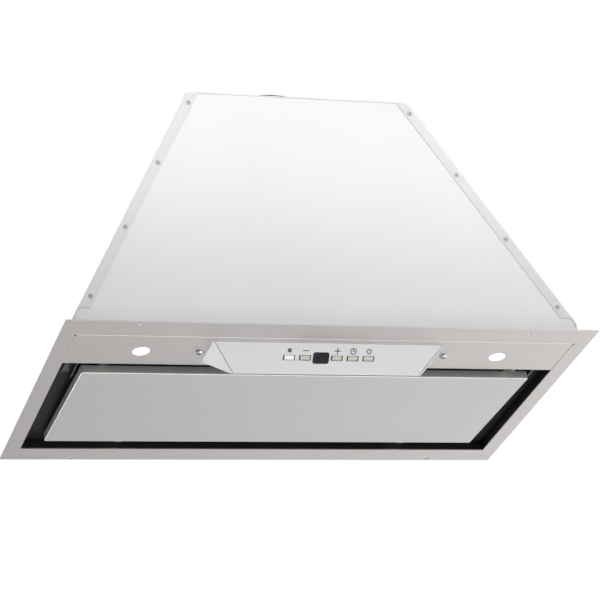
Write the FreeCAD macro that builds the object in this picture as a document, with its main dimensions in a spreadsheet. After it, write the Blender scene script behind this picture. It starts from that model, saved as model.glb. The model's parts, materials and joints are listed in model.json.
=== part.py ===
import FreeCAD, Part
import math
import os
import re
import Sketcher

# Built-in cooker hood, seen from the cook: +X right, -Y towards the cook, +Z up.
# The origin is the centre of the four flange screws, on the trim frame's upper face.

doc = FreeCAD.newDocument("CookerHood")
Vector = FreeCAD.Vector

# Driving sizes, in millimetres and degrees

SIZES = {
    # trim frame
    "flange_width": 524.0,
    "flange_depth": 295.2,
    "flange_gauge": 1.0,
    "screw_front_inset": 7.2,
    "screw_rear_inset": 3.9,
    "screw_side_inset": 70.75,
    "screw_hole_radius": 2.25,
    "opening_side_inset": 1.9,
    "opening_front_inset": 27.2,
    "opening_rear_inset": 25.0,
    "upstand_height": 9.0,
    "relief_width": 2.4,
    "seam_gap": 0.3,
    "bend_radius": 1.0,
    # lamp strip
    "strip_depth": 56.4,
    "strip_fold": 8.0,
    "strip_bend": 0.4,
    "leads_cutout_inset": 5.0,
    "lamp_middle_offset": 2.65,
    "lamp_inset": 57.9,
    "lamp_radius": 8.0,
    "lens_height": 5.0,
    "lens_rise": 0.8,
    "lamp_body_radius": 13.0,
    "lamp_body_height": 24.0,
    "lamp_fin_depth": 3.0,
    "lamp_fin_pitch": 4.0,
    "strip_screw_margin": 7.1,
    "strip_screw_inset": 57.1,
    "strip_screw_radius": 2.0,
    "strip_screw_length": 8.0,
    "strip_head_radius": 4.0,
    "strip_head_height": 2.4,
    "strip_nut_radius": 4.0,
    "strip_nut_height": 3.2,
    "bracket_gauge": 1.5,
    "bracket_width": 18.0,
    "bracket_step_height": 13.0,
    "bracket_leg_height": 22.0,
    "bracket_foot_front": 14.0,
    "bracket_foot_rear": 8.0,
    # control unit: a wedge with hipped ends under the strip
    "control_front_inset": 36.0,
    "control_ridge_inset": 57.7,
    "control_rear_inset": 77.0,
    "control_drop": 22.0,
    "control_length": 230.6,
    "control_ridge_length": 188.4,
    "control_gauge": 1.0,
    "cap_thickness": 1.2,
    "cap_seam": 0.5,
    "key_pitch": 15.8,
    "key_line": 14.3,
    "key_gap": 4.5,
    "key_width": 4.8,
    "key_corner": 0.8,
    "key_clearance": 0.25,
    "key_recess": 0.8,
    "key_lip": 1.1,
    "key_lip_thickness": 1.0,
    "key_stem": 3.0,
    "key_travel": 0.9,
    "switch_gap": 0.15,
    "display_growth": 4.5,
    "display_width": 10.9,
    "display_corner": 2.4,
    "display_lip": 0.5,
    "display_lip_thickness": 0.8,
    "board_length": 132.0,
    "board_width": 22.0,
    "board_thickness": 1.6,
    "board_setback": 8.0,
    "switch_width": 6.0,
    "switch_height": 3.4,
    "post_radius": 2.4,
    "post_inset": 5.0,
    # body
    "body_side_inset": 13.4,
    "body_rear_inset": 19.2,
    "body_height": 260.0,
    "body_top_width": 228.6,
    "body_front_inset": 18.0,
    "body_gauge": 0.8,
    "collar_height": 15.5,
    "lap_width": 12.0,
    "lap_start": 6.0,
    "lap_gap": 0.2,
    "foot_edge_inset": 0.6,
    "foot_end_inset": 12.0,
    "top_fold": 10.0,
    "rivet_radius": 1.6,
    "rivet_head_radius": 2.6,
    "rivet_head_height": 0.9,
    "rivet_tail_height": 1.2,
    "rivet_clearance": 0.1,
    # outlet
    "outlet_y": 8.0,
    "outlet_radius": 75.0,
    "outlet_wall": 2.0,
    "outlet_height": 45.0,
    "outlet_flange_width": 15.0,
    "outlet_flange_thickness": 2.0,
    "outlet_lead": 1.0,
    "flap_ledge_height": 14.0,
    "flap_ledge_width": 2.5,
    "flap_ledge_thickness": 1.5,
    "flap_thickness": 1.4,
    "flap_gap": 0.5,
    "flap_seat_gap": 0.3,
    "flap_pin_radius": 2.0,
    "flap_knuckle_radius": 3.2,
    "flap_knuckle_length": 16.0,
    "pin_clearance": 0.06,
    "pin_socket": 1.0,
    "collar_screw_radius": 1.9,
    "collar_screw_head": 3.6,
    "collar_screw_margin": 8.0,
    "collar_screw_length": 9.0,
    # blower
    "adapter_height": 28.0,
    "blower_floor": 54.0,
    "blower_front_gap": 2.9,
    "fan_width": 100.0,
    "fan_blade_depth": 12.0,
    "fan_blade_gauge": 0.8,
    "fan_blade_lean": 3.5,
    "fan_ring": 2.5,
    "fan_disc": 1.6,
    "hub_radius": 11.0,
    "hub_length": 14.0,
    "shaft_radius": 4.0,
    "shaft_length": 62.0,
    "scroll_tongue_gap": 6.0,
    "scroll_step": 10.0,
    "scroll_side_gap": 8.0,
    "scroll_wall": 2.0,
    "scroll_neck_rise": 14.0,
    "scroll_rim": 6.0,
    "inlet_inset": 14.0,
    "inlet_lip": 6.0,
    "motor_side_gap": 12.0,
    "motor_end_inset": 18.0,
    "motor_gap": 7.5,
    "motor_shoulder": 6.0,
    "motor_boss_radius": 12.0,
    "motor_boss": 4.0,
    "motor_slot_width": 3.0,
    "motor_slot_depth": 2.0,
    "spider_thickness": 2.0,
    "spider_arm_width": 12.0,
    "spider_hub_radius": 26.0,
    "spider_overlap": 10.0,
    "fan_nut_length": 6.0,
    "fan_nut_radius": 7.0,
    # electrical parts
    "tray_height": 100.0,
    "tray_length": 150.0,
    "tray_depth": 44.0,
    "tray_leg": 26.0,
    "tray_gauge": 1.0,
    "capacitor_radius": 16.0,
    "capacitor_height": 58.0,
    "capacitor_inset": 27.0,
    "terminal_length": 64.0,
    "terminal_depth": 36.0,
    "terminal_height": 28.0,
    "terminal_wall": 1.5,
    "terminal_inset": 13.0,
    "gland_side_inset": 30.3,
    "gland_inset": 24.0,
    "gland_radius": 8.0,
    "gland_hex_radius": 12.0,
    "gland_hex_height": 6.0,
    "gland_dome_height": 12.0,
    "gland_bore_radius": 4.0,
    "gland_nut_height": 5.0,
    "gland_tail": 2.0,
    "driver_length": 70.0,
    "driver_depth": 20.0,
    "driver_height": 24.0,
    "driver_distance": 90.0,
    "driver_level": 40.0,
    # intake and grease filter
    "surround_gauge": 0.8,
    "hinge_head_room": 0.35,
    "surround_gap": 0.2,
    "rebate_room": 1.0,
    "rebate_lip": 8.0,
    "filter_side_inset": 4.0,
    "filter_rear_gap": 21.0,
    "filter_thickness": 9.0,
    "filter_bar": 9.0,
    "latch_wall": 2.4,
    "filter_front_gap": 15.0,
    "filter_groove": 3.0,
    "mesh_thickness": 5.0,
    "screen_thickness": 0.6,
    "screen_bar_across": 5.8,
    "screen_bar_along": 2.7,
    "tab_spacing": 280.0,
    "tab_width": 20.0,
    "tab_reach": 5.0,
    "tab_thickness": 1.4,
    "latch_width": 31.0,
    "latch_depth": 13.0,
    "latch_height": 3.9,
    "latch_travel": 5.0,
    "latch_tongue_width": 12.0,
    "latch_tongue_reach": 6.0,
    "latch_tongue_thickness": 2.0,
    "latch_finger_width": 16.0,
    "latch_finger_drop": 3.0,
    "latch_clearance": 0.3,
    # perimeter panel
    "panel_side_gap": 20.7,
    "panel_rear_gap": 15.2,
    "panel_front_gap": 11.7,
    "panel_front_drop": 4.0,
    "panel_tilt": 1.8,
    "panel_gauge": 1.0,
    "panel_fold": 8.0,
    "panel_corner": 1.6,
    "hinge_back": 4.5,
    "hinge_rise": 5.0,
    "hinge_spacing": 300.0,
    "hinge_pin_radius": 1.5,
    "hinge_eye_radius": 3.0,
    "hinge_lug_width": 3.0,
    "hinge_ear_gauge": 1.5,
    "hinge_side_gap": 0.4,
    "hinge_pin_overhang": 1.0,
    "hinge_foot_width": 18.0,
    "hinge_foot_front": 4.0,
    "hinge_foot_rear": 10.0,
    "lug_foot_width": 14.0,
    "lug_foot_height": 6.0,
    "lug_foot_gauge": 1.2,
    "catch_inset": 22.0,
    "catch_width": 12.0,
    "catch_gauge": 0.8,
    "catch_height": 6.5,
    "catch_nose": 2.2,
    "catch_nose_height": 2.0,
    "tongue_width": 8.0,
    "tongue_gauge": 1.0,
    "tongue_gap": 0.6,
    "guide_length": 30.0,
    "guide_front": 5.0,
    "guide_gap": 3.5,
    "guide_gauge": 1.2,
    "guide_drop": 7.5,
    "guide_foot": 9.0,
    # one overrun for all cuts
    "cut_overrun": 2.0,
}

# Places worked out from the sizes

PLACES = {
    "flange_front": "-(flange_depth - screw_front_inset - screw_rear_inset) / 2 - screw_front_inset",
    "flange_rear": "flange_front + flange_depth",
    "screw_side": "flange_width / 2 - screw_side_inset",
    "screw_front": "flange_front + screw_front_inset",
    "screw_rear": "flange_rear - screw_rear_inset",
    "body_side": "flange_width / 2 - body_side_inset",
    "opening_side": "body_side - opening_side_inset",
    "opening_front": "flange_front + opening_front_inset",
    "opening_rear": "flange_rear - opening_rear_inset",
    "strip_side": "opening_side - seam_gap",
    "strip_front": "opening_front + seam_gap",
    "strip_rear": "strip_front + strip_depth",
    "control_half": "control_length / 2",
    "lamp_side": "(strip_side + control_half) / 2 - lamp_middle_offset",
    "lamp_line": "flange_front + lamp_inset",
    "strip_screw_line": "flange_front + strip_screw_inset",
    "strip_screw_spacing": "control_length + 2 * strip_screw_margin",
    "body_top_side": "body_top_width / 2",
    "body_front": "flange_front + body_front_inset",
    "body_rear": "flange_rear - body_rear_inset",
    "sheet_top": "body_height - body_gauge",
    "side_lean": "(body_side - body_top_side) / (sheet_top - collar_height)",
    "lap_bottom": "collar_height + lap_start",
    "lap_bottom_side": "body_side - lap_start * side_lean",
    "sheet_side": "body_side - body_gauge - lap_gap",
    "sheet_top_side": "body_top_side - body_gauge - lap_gap",
    # control face
    "control_front": "flange_front + control_front_inset",
    "control_ridge": "flange_front + control_ridge_inset",
    "control_rear": "flange_front + control_rear_inset",
    "face_run": "control_ridge - control_front",
    "face_angle": "atan(control_drop / face_run)",
    "face_length": "sqrt(control_drop * control_drop + face_run * face_run)",
    "back_angle": "atan(control_drop / (control_rear - control_ridge))",
    "ridge_angle": "180 deg - face_angle - back_angle",
    "hip_angle": "atan(2 * control_drop / (control_length - control_ridge_length))",
    "hip_offset": "(cap_thickness + cap_seam) / sin(hip_angle)",
    "hip_cap_offset": "cap_thickness / sin(hip_angle)",
    "ridge_half": "control_ridge_length / 2",
    "control_bottom": "-flange_gauge - control_drop",
    "key_length": "key_pitch - key_gap",
    "display_length": "key_length + display_growth",
    "post_spacing": "board_length - 2 * post_inset",
    # outlet and blower
    "collar_bore": "outlet_radius - outlet_wall",
    "outlet_flange_radius": "outlet_radius + outlet_flange_width",
    "collar_screw_circle": "outlet_radius + collar_screw_margin",
    "flap_ledge_top": "body_height + flap_ledge_height + flap_ledge_thickness",
    "flap_level": "flap_ledge_top + flap_seat_gap + flap_thickness / 2",
    "flap_radius": "collar_bore - flap_gap",
    "flap_hub": "flap_knuckle_radius + flap_gap",
    "scroll_offset": "scroll_step / 2",
    "front_inner": "body_front + body_gauge",
    "scroll_room": "scroll_tongue_gap + 2 * scroll_offset + scroll_wall + scroll_step",
    "blower_rise": "body_height - adapter_height - blower_floor",
    "wheel_by_height": "(blower_rise - scroll_neck_rise - scroll_room) / 2",
    "blower_depth": "outlet_y - front_inner - blower_front_gap",
    "wheel_by_depth": "(blower_depth - (scroll_tongue_gap + scroll_offset) / 2 - scroll_room) * 2 / 3",
    "fan_radius": "min(wheel_by_height; wheel_by_depth)",
    "scroll_neck": "fan_radius + scroll_neck_rise",
    "fan_height": "body_height - adapter_height - scroll_neck",
    "inlet_radius": "fan_radius - inlet_inset",
    "motor_radius": "inlet_radius - motor_side_gap",
    "spider_reach": "inlet_radius + spider_overlap",
    "scroll_start_radius": "fan_radius + scroll_tongue_gap + scroll_offset",
    "scroll_end_reach": "scroll_start_radius + 2 * scroll_step + scroll_offset",
    "fan_y": "outlet_y - (scroll_end_reach - scroll_offset) / 2",
    "scroll_half": "fan_width / 2 + scroll_side_gap",
    "neck_level": "fan_height + scroll_neck",
    "motor_outer": "-scroll_half - scroll_wall",
    "motor_inner": "-motor_gap",
    "shaft_start": "motor_inner - motor_boss - shaft_length + 2 * hub_length",
    "shaft_end": "shaft_start + shaft_length",
    "gland_x": "body_top_side - gland_side_inset",
    "gland_y": "body_rear - gland_inset",
    "rear_inner": "body_rear - body_gauge",
    # panel
    "panel_side": "opening_side - panel_side_gap",
    "panel_front": "strip_rear + panel_front_gap",
    "panel_level": "-flange_gauge - panel_front_drop",
    "panel_depth": "(opening_rear - panel_rear_gap - panel_front) / cos(panel_tilt)",
    "hinge_y": "panel_front + (panel_depth + hinge_back) * cos(panel_tilt) - hinge_rise * sin(panel_tilt)",
    "hinge_z": "panel_level + (panel_depth + hinge_back) * sin(panel_tilt) + hinge_rise * cos(panel_tilt)",
    "catch_x": "panel_side - catch_inset",
    # intake and filter
    "surround_level": "hinge_z + hinge_eye_radius + hinge_head_room + hinge_ear_gauge",
    "rebate_height": "filter_thickness + rebate_room",
    "surround_side": "body_side - body_gauge - surround_gap",
    "surround_front": "strip_rear + seam_gap",
    "surround_rear": "opening_rear + surround_gap + surround_gauge",
    "ledge_top": "surround_level + surround_gauge",
    "rebate_top": "ledge_top + rebate_height",
    "filter_side": "panel_side - filter_side_inset",
    "filter_front": "surround_front + filter_front_gap",
    "filter_rear": "opening_rear - filter_rear_gap",
    "filter_front_bar": "latch_depth + latch_travel + 2 * latch_clearance + filter_groove + latch_wall",
    "filter_top": "rebate_top - seam_gap",
    "filter_bottom": "filter_top - filter_thickness",
    "filter_middle": "(filter_top + filter_bottom) / 2",
    "window_side": "filter_side - filter_bar",
    "window_front": "filter_front + filter_front_bar",
    "window_rear": "filter_rear - filter_bar",
    "mesh_bottom": "filter_middle - mesh_thickness / 2",
    "latch_bottom": "filter_bottom + latch_clearance",
    "latch_front": "filter_front + latch_clearance",
    "guide_side": "panel_side + guide_gap",
    "guide_start": "panel_front - guide_front",
}

BLADE_COUNT = 32
MOTOR_SLOTS = 10
SCREEN_COLUMNS = 24
SCREEN_ROWS = 7
LAMP_FINS = 3
COLLAR_SCREWS = 4
SPIDER_ARMS = 3
ADAPTER_FOLDS = 6
COLLAR_SCREW_TURN = 45
SPIDER_TURN = 30
# shares of the lapped edge's height at which the rivets sit, and of its width and their heads
RIVET_SHARES = (0.05, 0.36, 0.66, 0.95)
RIVET_INSET_SHARE = 0.55
RIVET_TAIL_SHARE = 0.8
# where the lens's dome bends: shares of its radius and rise
LENS_BEND_SHARES = (0.6, 0.7)
GLAND_SHOULDER_SHARE = 1.2


def make_sheet(name, cells):
    sheet = doc.addObject("Spreadsheet::Sheet", name)
    for row, (alias, content) in enumerate(cells.items(), 1):
        sheet.set(f"A{row}", alias)
        sheet.set(f"B{row}", content)
        sheet.setAlias(f"B{row}", alias)
    doc.recompute()
    return sheet


def formula(text):
    """Point each size or place that is named in text at its cell."""
    def cell(match):
        word = match.group(0)
        if word in SIZES:
            return f"Sizes.{word}"
        return f"Places.{word}" if word in PLACES else word
    return re.sub(r"[a-z_]+", cell, str(text))


sizes = make_sheet("Sizes", {name: str(value) for name, value in SIZES.items()})
places = make_sheet("Places", {name: "=" + formula(text).replace("Places.", "")
                               for name, text in PLACES.items()})


def value(text):
    """The number that a formula stands for, with angles in degrees."""
    result = sizes.evalExpression(formula(text))
    return float(getattr(result, "Value", result))


def bind(item, **bindings):
    for name, text in bindings.items():
        item.setExpression(name.replace("__", "."), formula(text))


# Sketches, pads and pockets

ORIGIN_PLANES = {"XY": "XY_Plane", "XZ": "XZ_Plane", "YZ": "YZ_Plane"}


def origin_part(body, role):
    return next(item for item in body.Origin.OriginFeatures if item.Role == role)


def new_body(name):
    body = doc.addObject("PartDesign::Body", name)
    body.Label = name
    return body


def tie_point(sketch, geometry, position, x, y):
    for kind, text in (("DistanceX", x), ("DistanceY", y)):
        rule = sketch.addConstraint(Sketcher.Constraint(kind, -1, 1, geometry, position, value(text)))
        sketch.setExpression(f"Constraints[{rule}]", formula(text))


def outline(*points):
    """A closed polygon whose corners are formulas."""
    def draw(sketch):
        first = sketch.GeometryCount
        spots = [Vector(value(x), value(y), 0) for x, y in points]
        count = len(points)
        for i in range(count):
            sketch.addGeometry(Part.LineSegment(spots[i], spots[(i + 1) % count]))
        for i in range(count):
            after = first + (i + 1) % count
            sketch.addConstraint(Sketcher.Constraint("Coincident", first + i, 2, after, 1))
        for i, (x, y) in enumerate(points):
            tie_point(sketch, first + i, 1, x, y)
    return draw


def rectangle(left, right, low, high):
    return outline((left, low), (right, low), (right, high), (left, high))


def disc(x, y, radius):
    def draw(sketch):
        centre = Vector(value(x), value(y), 0)
        ring = sketch.addGeometry(Part.Circle(centre, Vector(0, 0, 1), value(radius)))
        tie_point(sketch, ring, 3, x, y)
        rule = sketch.addConstraint(Sketcher.Constraint("Radius", ring, value(radius)))
        sketch.setExpression(f"Constraints[{rule}]", formula(radius))
    return draw


def drawn(body, plane, level, shapes):
    """A sketch on an origin plane of the body, moved along the plane's normal to a level."""
    sketch = body.newObject("Sketcher::SketchObject", body.Name + "_sketch")
    sketch.AttachmentSupport = (origin_part(body, ORIGIN_PLANES[plane]), "")
    sketch.MapMode = "FlatFace"
    bind(sketch, AttachmentOffset__Base__z=level)
    for shape in shapes:
        shape(sketch)
    return sketch


def layer(body, kind, plane, low, high, shapes):
    """Pad or pocket the shapes between two levels along X, Y or Z."""
    level = f"-({high})" if plane == "XZ" else low
    feature = body.newObject(f"PartDesign::{kind}", f"{body.Name}_{kind.lower()}")
    feature.Profile = drawn(body, plane, level, shapes)
    bind(feature, Length=f"({high}) - ({low})")
    return feature


def add(body, plane, low, high, *shapes):
    feature = layer(body, "Pad", plane, low, high, shapes)
    doc.recompute()
    return feature


def remove(body, plane, low, high, *shapes):
    before = body.Shape.Volume
    feature = layer(body, "Pocket", plane, low, high, shapes)
    feature.Reversed = True
    doc.recompute()
    if not body.Shape.Volume < before:
        raise RuntimeError(f"{feature.Name} cuts nothing")
    return feature


def revolved(body, plane, axis, *shapes):
    feature = body.newObject("PartDesign::Revolution", body.Name + "_revolution")
    feature.Profile = drawn(body, plane, "0", shapes)
    feature.ReferenceAxis = (origin_part(body, axis), [""])
    feature.Angle = 360
    doc.recompute()
    return feature


def round_edges(body, radius, keep):
    """Fillet the edges of the body's tip that keep chooses."""
    tip = body.Tip
    chosen = [f"Edge{i}" for i, edge in enumerate(tip.Shape.Edges, 1) if keep(edge)]
    feature = body.newObject("PartDesign::Fillet", body.Name + "_fillet")
    feature.Base = (tip, chosen)
    bind(feature, Radius=radius)
    doc.recompute()
    return feature


def upright(edge):
    """A straight edge along Z."""
    if len(edge.Vertexes) < 2 or edge.Curve.TypeId != "Part::GeomLine":
        return False
    start, end = (vertex.Point for vertex in edge.Vertexes)
    return (start - end).cross(Vector(0, 0, 1)).Length < edge.Length / 1000


def bends(level):
    """Choose the edges that lie at one height."""
    height = value(level)

    def keep(edge):
        return all(math.isclose(vertex.Z, height, abs_tol=edge.Length / 1000)
                   for vertex in edge.Vertexes)
    return keep


def upright_near(x, reach):
    """Choose the straight edges along Z within a reach of x."""
    def keep(edge):
        return upright(edge) and abs(edge.Vertexes[0].X - value(x)) < value(reach)
    return keep


def along_x_at(y, z):
    """Choose the edge along X at one place."""
    def keep(edge):
        return all(math.hypot(vertex.Y - value(y), vertex.Z - value(z)) < edge.Length / 1000
                   for vertex in edge.Vertexes)
    return keep


def place(item, x="0", y="0", z="0"):
    bind(item, Placement__Base__x=x, Placement__Base__y=y, Placement__Base__z=z)
    return item


def tip_about_x(item, angle, x, y, z):
    """Turn the item about X and set its place."""
    item.Placement = FreeCAD.Placement(Vector(), FreeCAD.Rotation(Vector(1, 0, 0), value(angle)))
    bind(item, Placement__Rotation__Angle=angle)
    return place(item, x, y, z)


# Boxes, rods and booleans

def block(name, across, along, up):
    """A box between pairs of formulas along X, Y and Z."""
    box = doc.addObject("Part::Box", name)
    bind(box, Length=f"({across[1]}) - ({across[0]})", Width=f"({along[1]}) - ({along[0]})",
         Height=f"({up[1]}) - ({up[0]})")
    return place(box, across[0], along[0], up[0])


def rod(name, radius, low, high, y, z):
    """A cylinder along X."""
    item = doc.addObject("Part::Cylinder", name)
    item.Placement.Rotation = FreeCAD.Rotation(Vector(0, 1, 0), 90)
    bind(item, Radius=radius, Height=f"({high}) - ({low})")
    return place(item, low, y, z)


def post(name, radius, x, y, low, high):
    """A cylinder along Z."""
    item = doc.addObject("Part::Cylinder", name)
    bind(item, Radius=radius, Height=f"({high}) - ({low})")
    return place(item, x, y, low)


def stud(name, radius, x, z, low, high):
    """A cylinder along Y, its low end first."""
    item = doc.addObject("Part::Cylinder", name)
    item.Placement.Rotation = FreeCAD.Rotation(Vector(1, 0, 0), -90)
    bind(item, Radius=radius, Height=f"({high}) - ({low})")
    return place(item, x, low, z)


def join(name, *items):
    result = doc.addObject("Part::MultiFuse", name)
    result.Shapes = list(items)
    return result


def cut(name, base, *tools):
    result = doc.addObject("Part::Cut", name)
    result.Base = base
    result.Tool = tools[0] if len(tools) == 1 else join(name + "_tools", *tools)
    return result


def common(name, first, second):
    result = doc.addObject("Part::Common", name)
    result.Base = first
    result.Tool = second
    return result


def group(name, items):
    """Separate solids that share one node."""
    result = doc.addObject("Part::Compound", name)
    result.Links = list(items)
    return result


def solid_feature(name, shape):
    item = doc.addObject("Part::Feature", name)
    item.Shape = shape
    return item


nodes = {}


def node(name, item):
    item.Label = name
    nodes[name] = item


# Trim frame: flat sheet, opening with relief notches, front upstand, four screw holes

def trim_frame():
    body = new_body("trim_frame")
    add(body, "XY", "-flange_gauge", "0",
        rectangle("-flange_width / 2", "flange_width / 2", "flange_front", "flange_rear"),
        outline(("-opening_side", "opening_rear"), ("-opening_side", "opening_front + relief_width"),
                ("-opening_side - relief_width / 2", "opening_front + relief_width"),
                ("-opening_side - relief_width / 2", "opening_front"),
                ("opening_side + relief_width / 2", "opening_front"),
                ("opening_side + relief_width / 2", "opening_front + relief_width"),
                ("opening_side", "opening_front + relief_width"), ("opening_side", "opening_rear")))
    add(body, "XY", "-flange_gauge", "upstand_height",
        rectangle("-opening_side + relief_width", "opening_side - relief_width",
                  "opening_front - flange_gauge", "opening_front"))
    remove(body, "XY", "-flange_gauge - cut_overrun", "cut_overrun",
           *screw_holes("screw_front"), *screw_holes("screw_rear"))
    node("trim_frame", body)


# Lamp strip: a shallow tray with lamp holes, screw holes and the control unit's cut-out

def lamp_strip():
    body = new_body("lamp_strip")
    add(body, "XY", "-flange_gauge", "strip_fold",
        rectangle("-strip_side", "strip_side", "strip_front", "strip_rear"))
    round_edges(body, "strip_bend", bends("-flange_gauge"))
    remove(body, "XY", "0", "strip_fold + cut_overrun",
           rectangle("-strip_side + flange_gauge", "strip_side - flange_gauge",
                     "strip_front + flange_gauge", "strip_rear - flange_gauge"))
    holes = [rectangle("-board_length / 2 - control_gauge", "board_length / 2 + control_gauge",
                       "control_front + leads_cutout_inset", "control_rear - leads_cutout_inset")]
    for side in ("-", ""):
        holes.append(disc(f"{side}lamp_side", "lamp_line", "lamp_radius + seam_gap"))
        holes.append(disc(f"{side}strip_screw_spacing / 2", "strip_screw_line",
                          "strip_screw_radius + rivet_clearance"))
    remove(body, "XY", "-flange_gauge - cut_overrun", "cut_overrun", *holes)
    node("lamp_strip", body)


def lamp(name, side):
    """One lamp: a domed lens in a finned can that stands on the strip."""
    lens = new_body(f"lamp_lens_{name}")
    revolved(lens, "XZ", "Z_Axis",
             outline(("0", "-flange_gauge - lens_rise"),
                     (f"lamp_radius * {LENS_BEND_SHARES[0]}",
                      f"-flange_gauge - lens_rise * {LENS_BEND_SHARES[1]}"),
                     ("lamp_radius", "-flange_gauge"), ("lamp_radius", "lens_height"),
                     ("0", "lens_height")))
    can = new_body(f"lamp_body_{name}")
    profile = [("0", "lens_height + seam_gap"), ("lamp_radius + seam_gap", "lens_height + seam_gap"),
               ("lamp_radius + seam_gap", "0"), ("lamp_body_radius", "0")]
    for fin in range(LAMP_FINS):
        base = f"lamp_body_height - {LAMP_FINS - fin} * lamp_fin_pitch"
        for radius, level in (("lamp_body_radius", base),
                              ("lamp_body_radius - lamp_fin_depth", base),
                              ("lamp_body_radius - lamp_fin_depth", f"{base} + lamp_fin_pitch / 2"),
                              ("lamp_body_radius", f"{base} + lamp_fin_pitch / 2")):
            profile.append((radius, level))
    profile += [("lamp_body_radius", "lamp_body_height"), ("0", "lamp_body_height")]
    revolved(can, "XZ", "Z_Axis", outline(*profile))
    for item in (lens, can):
        place(item, f"{side}lamp_side", "lamp_line")
        node(item.Name, item)


def strip_fixings():
    """Two pan-head screws through the strip into nuts on Z-shaped brackets."""
    screws, nuts, brackets = [], [], []
    for index, side in enumerate(("-", "")):
        x = f"{side}strip_screw_spacing / 2"
        at = (x, "strip_screw_line")
        head = post(f"strip_head_{index}", "strip_head_radius", *at,
                    "-flange_gauge - strip_head_height", "-flange_gauge")
        shank = post(f"strip_shank_{index}", "strip_screw_radius", *at, "-flange_gauge",
                     "strip_screw_length")
        screws.append(join(f"strip_screw_{index}", head, shank))
        nut = doc.addObject("Part::Prism", f"strip_nut_{index}")
        nut.Polygon = 6
        bind(nut, Circumradius="strip_nut_radius", Height="strip_nut_height")
        place(nut, *at, "bracket_gauge")
        bore = post(f"strip_nut_bore_{index}", "strip_screw_radius + pin_clearance", *at, "0",
                    "strip_screw_length + cut_overrun")
        nuts.append(cut(f"strip_nut_ring_{index}", nut, bore))
        body = new_body(f"strip_bracket_{index}")
        step = "bracket_step_height"
        foot_front = "strip_screw_line - bracket_foot_front"
        add(body, "YZ", f"{x} - bracket_width / 2", f"{x} + bracket_width / 2",
            outline(("strip_screw_line + bracket_foot_rear", "0"),
                    ("strip_screw_line + bracket_foot_rear", "bracket_gauge"),
                    (f"{foot_front} + bracket_gauge", "bracket_gauge"),
                    (f"{foot_front} + bracket_gauge", step),
                    ("front_inner + bracket_gauge", step),
                    ("front_inner + bracket_gauge", f"{step} + bracket_leg_height"),
                    ("front_inner", f"{step} + bracket_leg_height"),
                    ("front_inner", f"{step} - bracket_gauge"),
                    (foot_front, f"{step} - bracket_gauge"), (foot_front, "0")))
        remove(body, "XY", "-cut_overrun", "bracket_gauge + cut_overrun",
               disc(*at, "strip_screw_radius + rivet_clearance"))
        brackets.append(body)
    node("strip_screws", group("strip_screws", screws))
    node("strip_nuts", group("strip_nuts", nuts))
    node("strip_brackets", group("strip_brackets", brackets))


# Control unit. Its own frame lies on the sloping face: X across, Y down the slope, Z inwards.

KEYS = {"fan": "-2.5", "minus": "-1.5", "plus": "0.5", "timer": "1.5", "light": "2.5"}
DISPLAY_STATION = "-0.5"


def on_face(item):
    """Move an item from the control face's own frame to the hood's."""
    return tip_about_x(item, "-face_angle", "0", "control_front", "-flange_gauge")


def station(number):
    return f"({number}) * key_pitch"


def key_outline(number, grow):
    x = station(number)
    return rectangle(f"{x} - key_length / 2 - {grow}", f"{x} + key_length / 2 + {grow}",
                     f"key_line - key_width / 2 - {grow}", f"key_line + key_width / 2 + {grow}")


def display_outline(grow):
    x = station(DISPLAY_STATION)
    return rectangle(f"{x} - display_length / 2 - {grow}", f"{x} + display_length / 2 + {grow}",
                     f"key_line - display_width / 2 - {grow}",
                     f"key_line + display_width / 2 + {grow}")


def control_housing():
    """A folded V with key slots, a window and two posts, its ends cut on the hips."""
    fold = new_body("control_fold")
    rear = "(control_rear - control_front)"
    inner = "control_gauge / sin(back_angle)"
    add(fold, "YZ", "-control_half", "control_half",
        outline(("0", "0"), ("face_length", "0"),
                (f"{rear} * cos(face_angle)", f"{rear} * sin(face_angle)"),
                (f"({rear} - {inner}) * cos(face_angle)", f"({rear} - {inner}) * sin(face_angle)"),
                ("face_length - control_gauge / tan(ridge_angle / 2)", "control_gauge"),
                ("control_gauge / tan(face_angle)", "control_gauge")))
    round_edges(fold, "bend_radius", along_x_at("face_length", "0"))
    add(fold, "XY", "control_gauge / 2", "board_setback",
        *[disc(f"{side}post_spacing / 2", "key_line", "post_radius") for side in ("-", "")])
    remove(fold, "XY", "-cut_overrun", "control_gauge + cut_overrun / 2",
           display_outline("key_clearance"), *[key_outline(x, "key_clearance") for x in KEYS.values()])
    round_edges(fold, "display_corner",
                upright_near(station(DISPLAY_STATION), "display_length / 2 + 2 * key_clearance"))
    on_face(fold)
    ends = []
    for index, side in enumerate(("-", "")):
        end = new_body(f"control_end_{index}")
        add(end, "XZ", "control_front - cut_overrun", "control_rear + cut_overrun",
            outline((f"{side}(control_half - hip_offset)", "-flange_gauge"),
                    (f"{side}(ridge_half - hip_offset)", "control_bottom"),
                    (f"{side}(ridge_half - hip_offset)", "control_bottom - cut_overrun"),
                    (f"{side}(control_half + cut_overrun)", "control_bottom - cut_overrun"),
                    (f"{side}(control_half + cut_overrun)", "-flange_gauge + cut_overrun"),
                    (f"{side}(control_half - hip_offset)", "-flange_gauge + cut_overrun")))
        ends.append(end)
    node("control_housing", cut("control_housing", fold, *ends))


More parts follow.
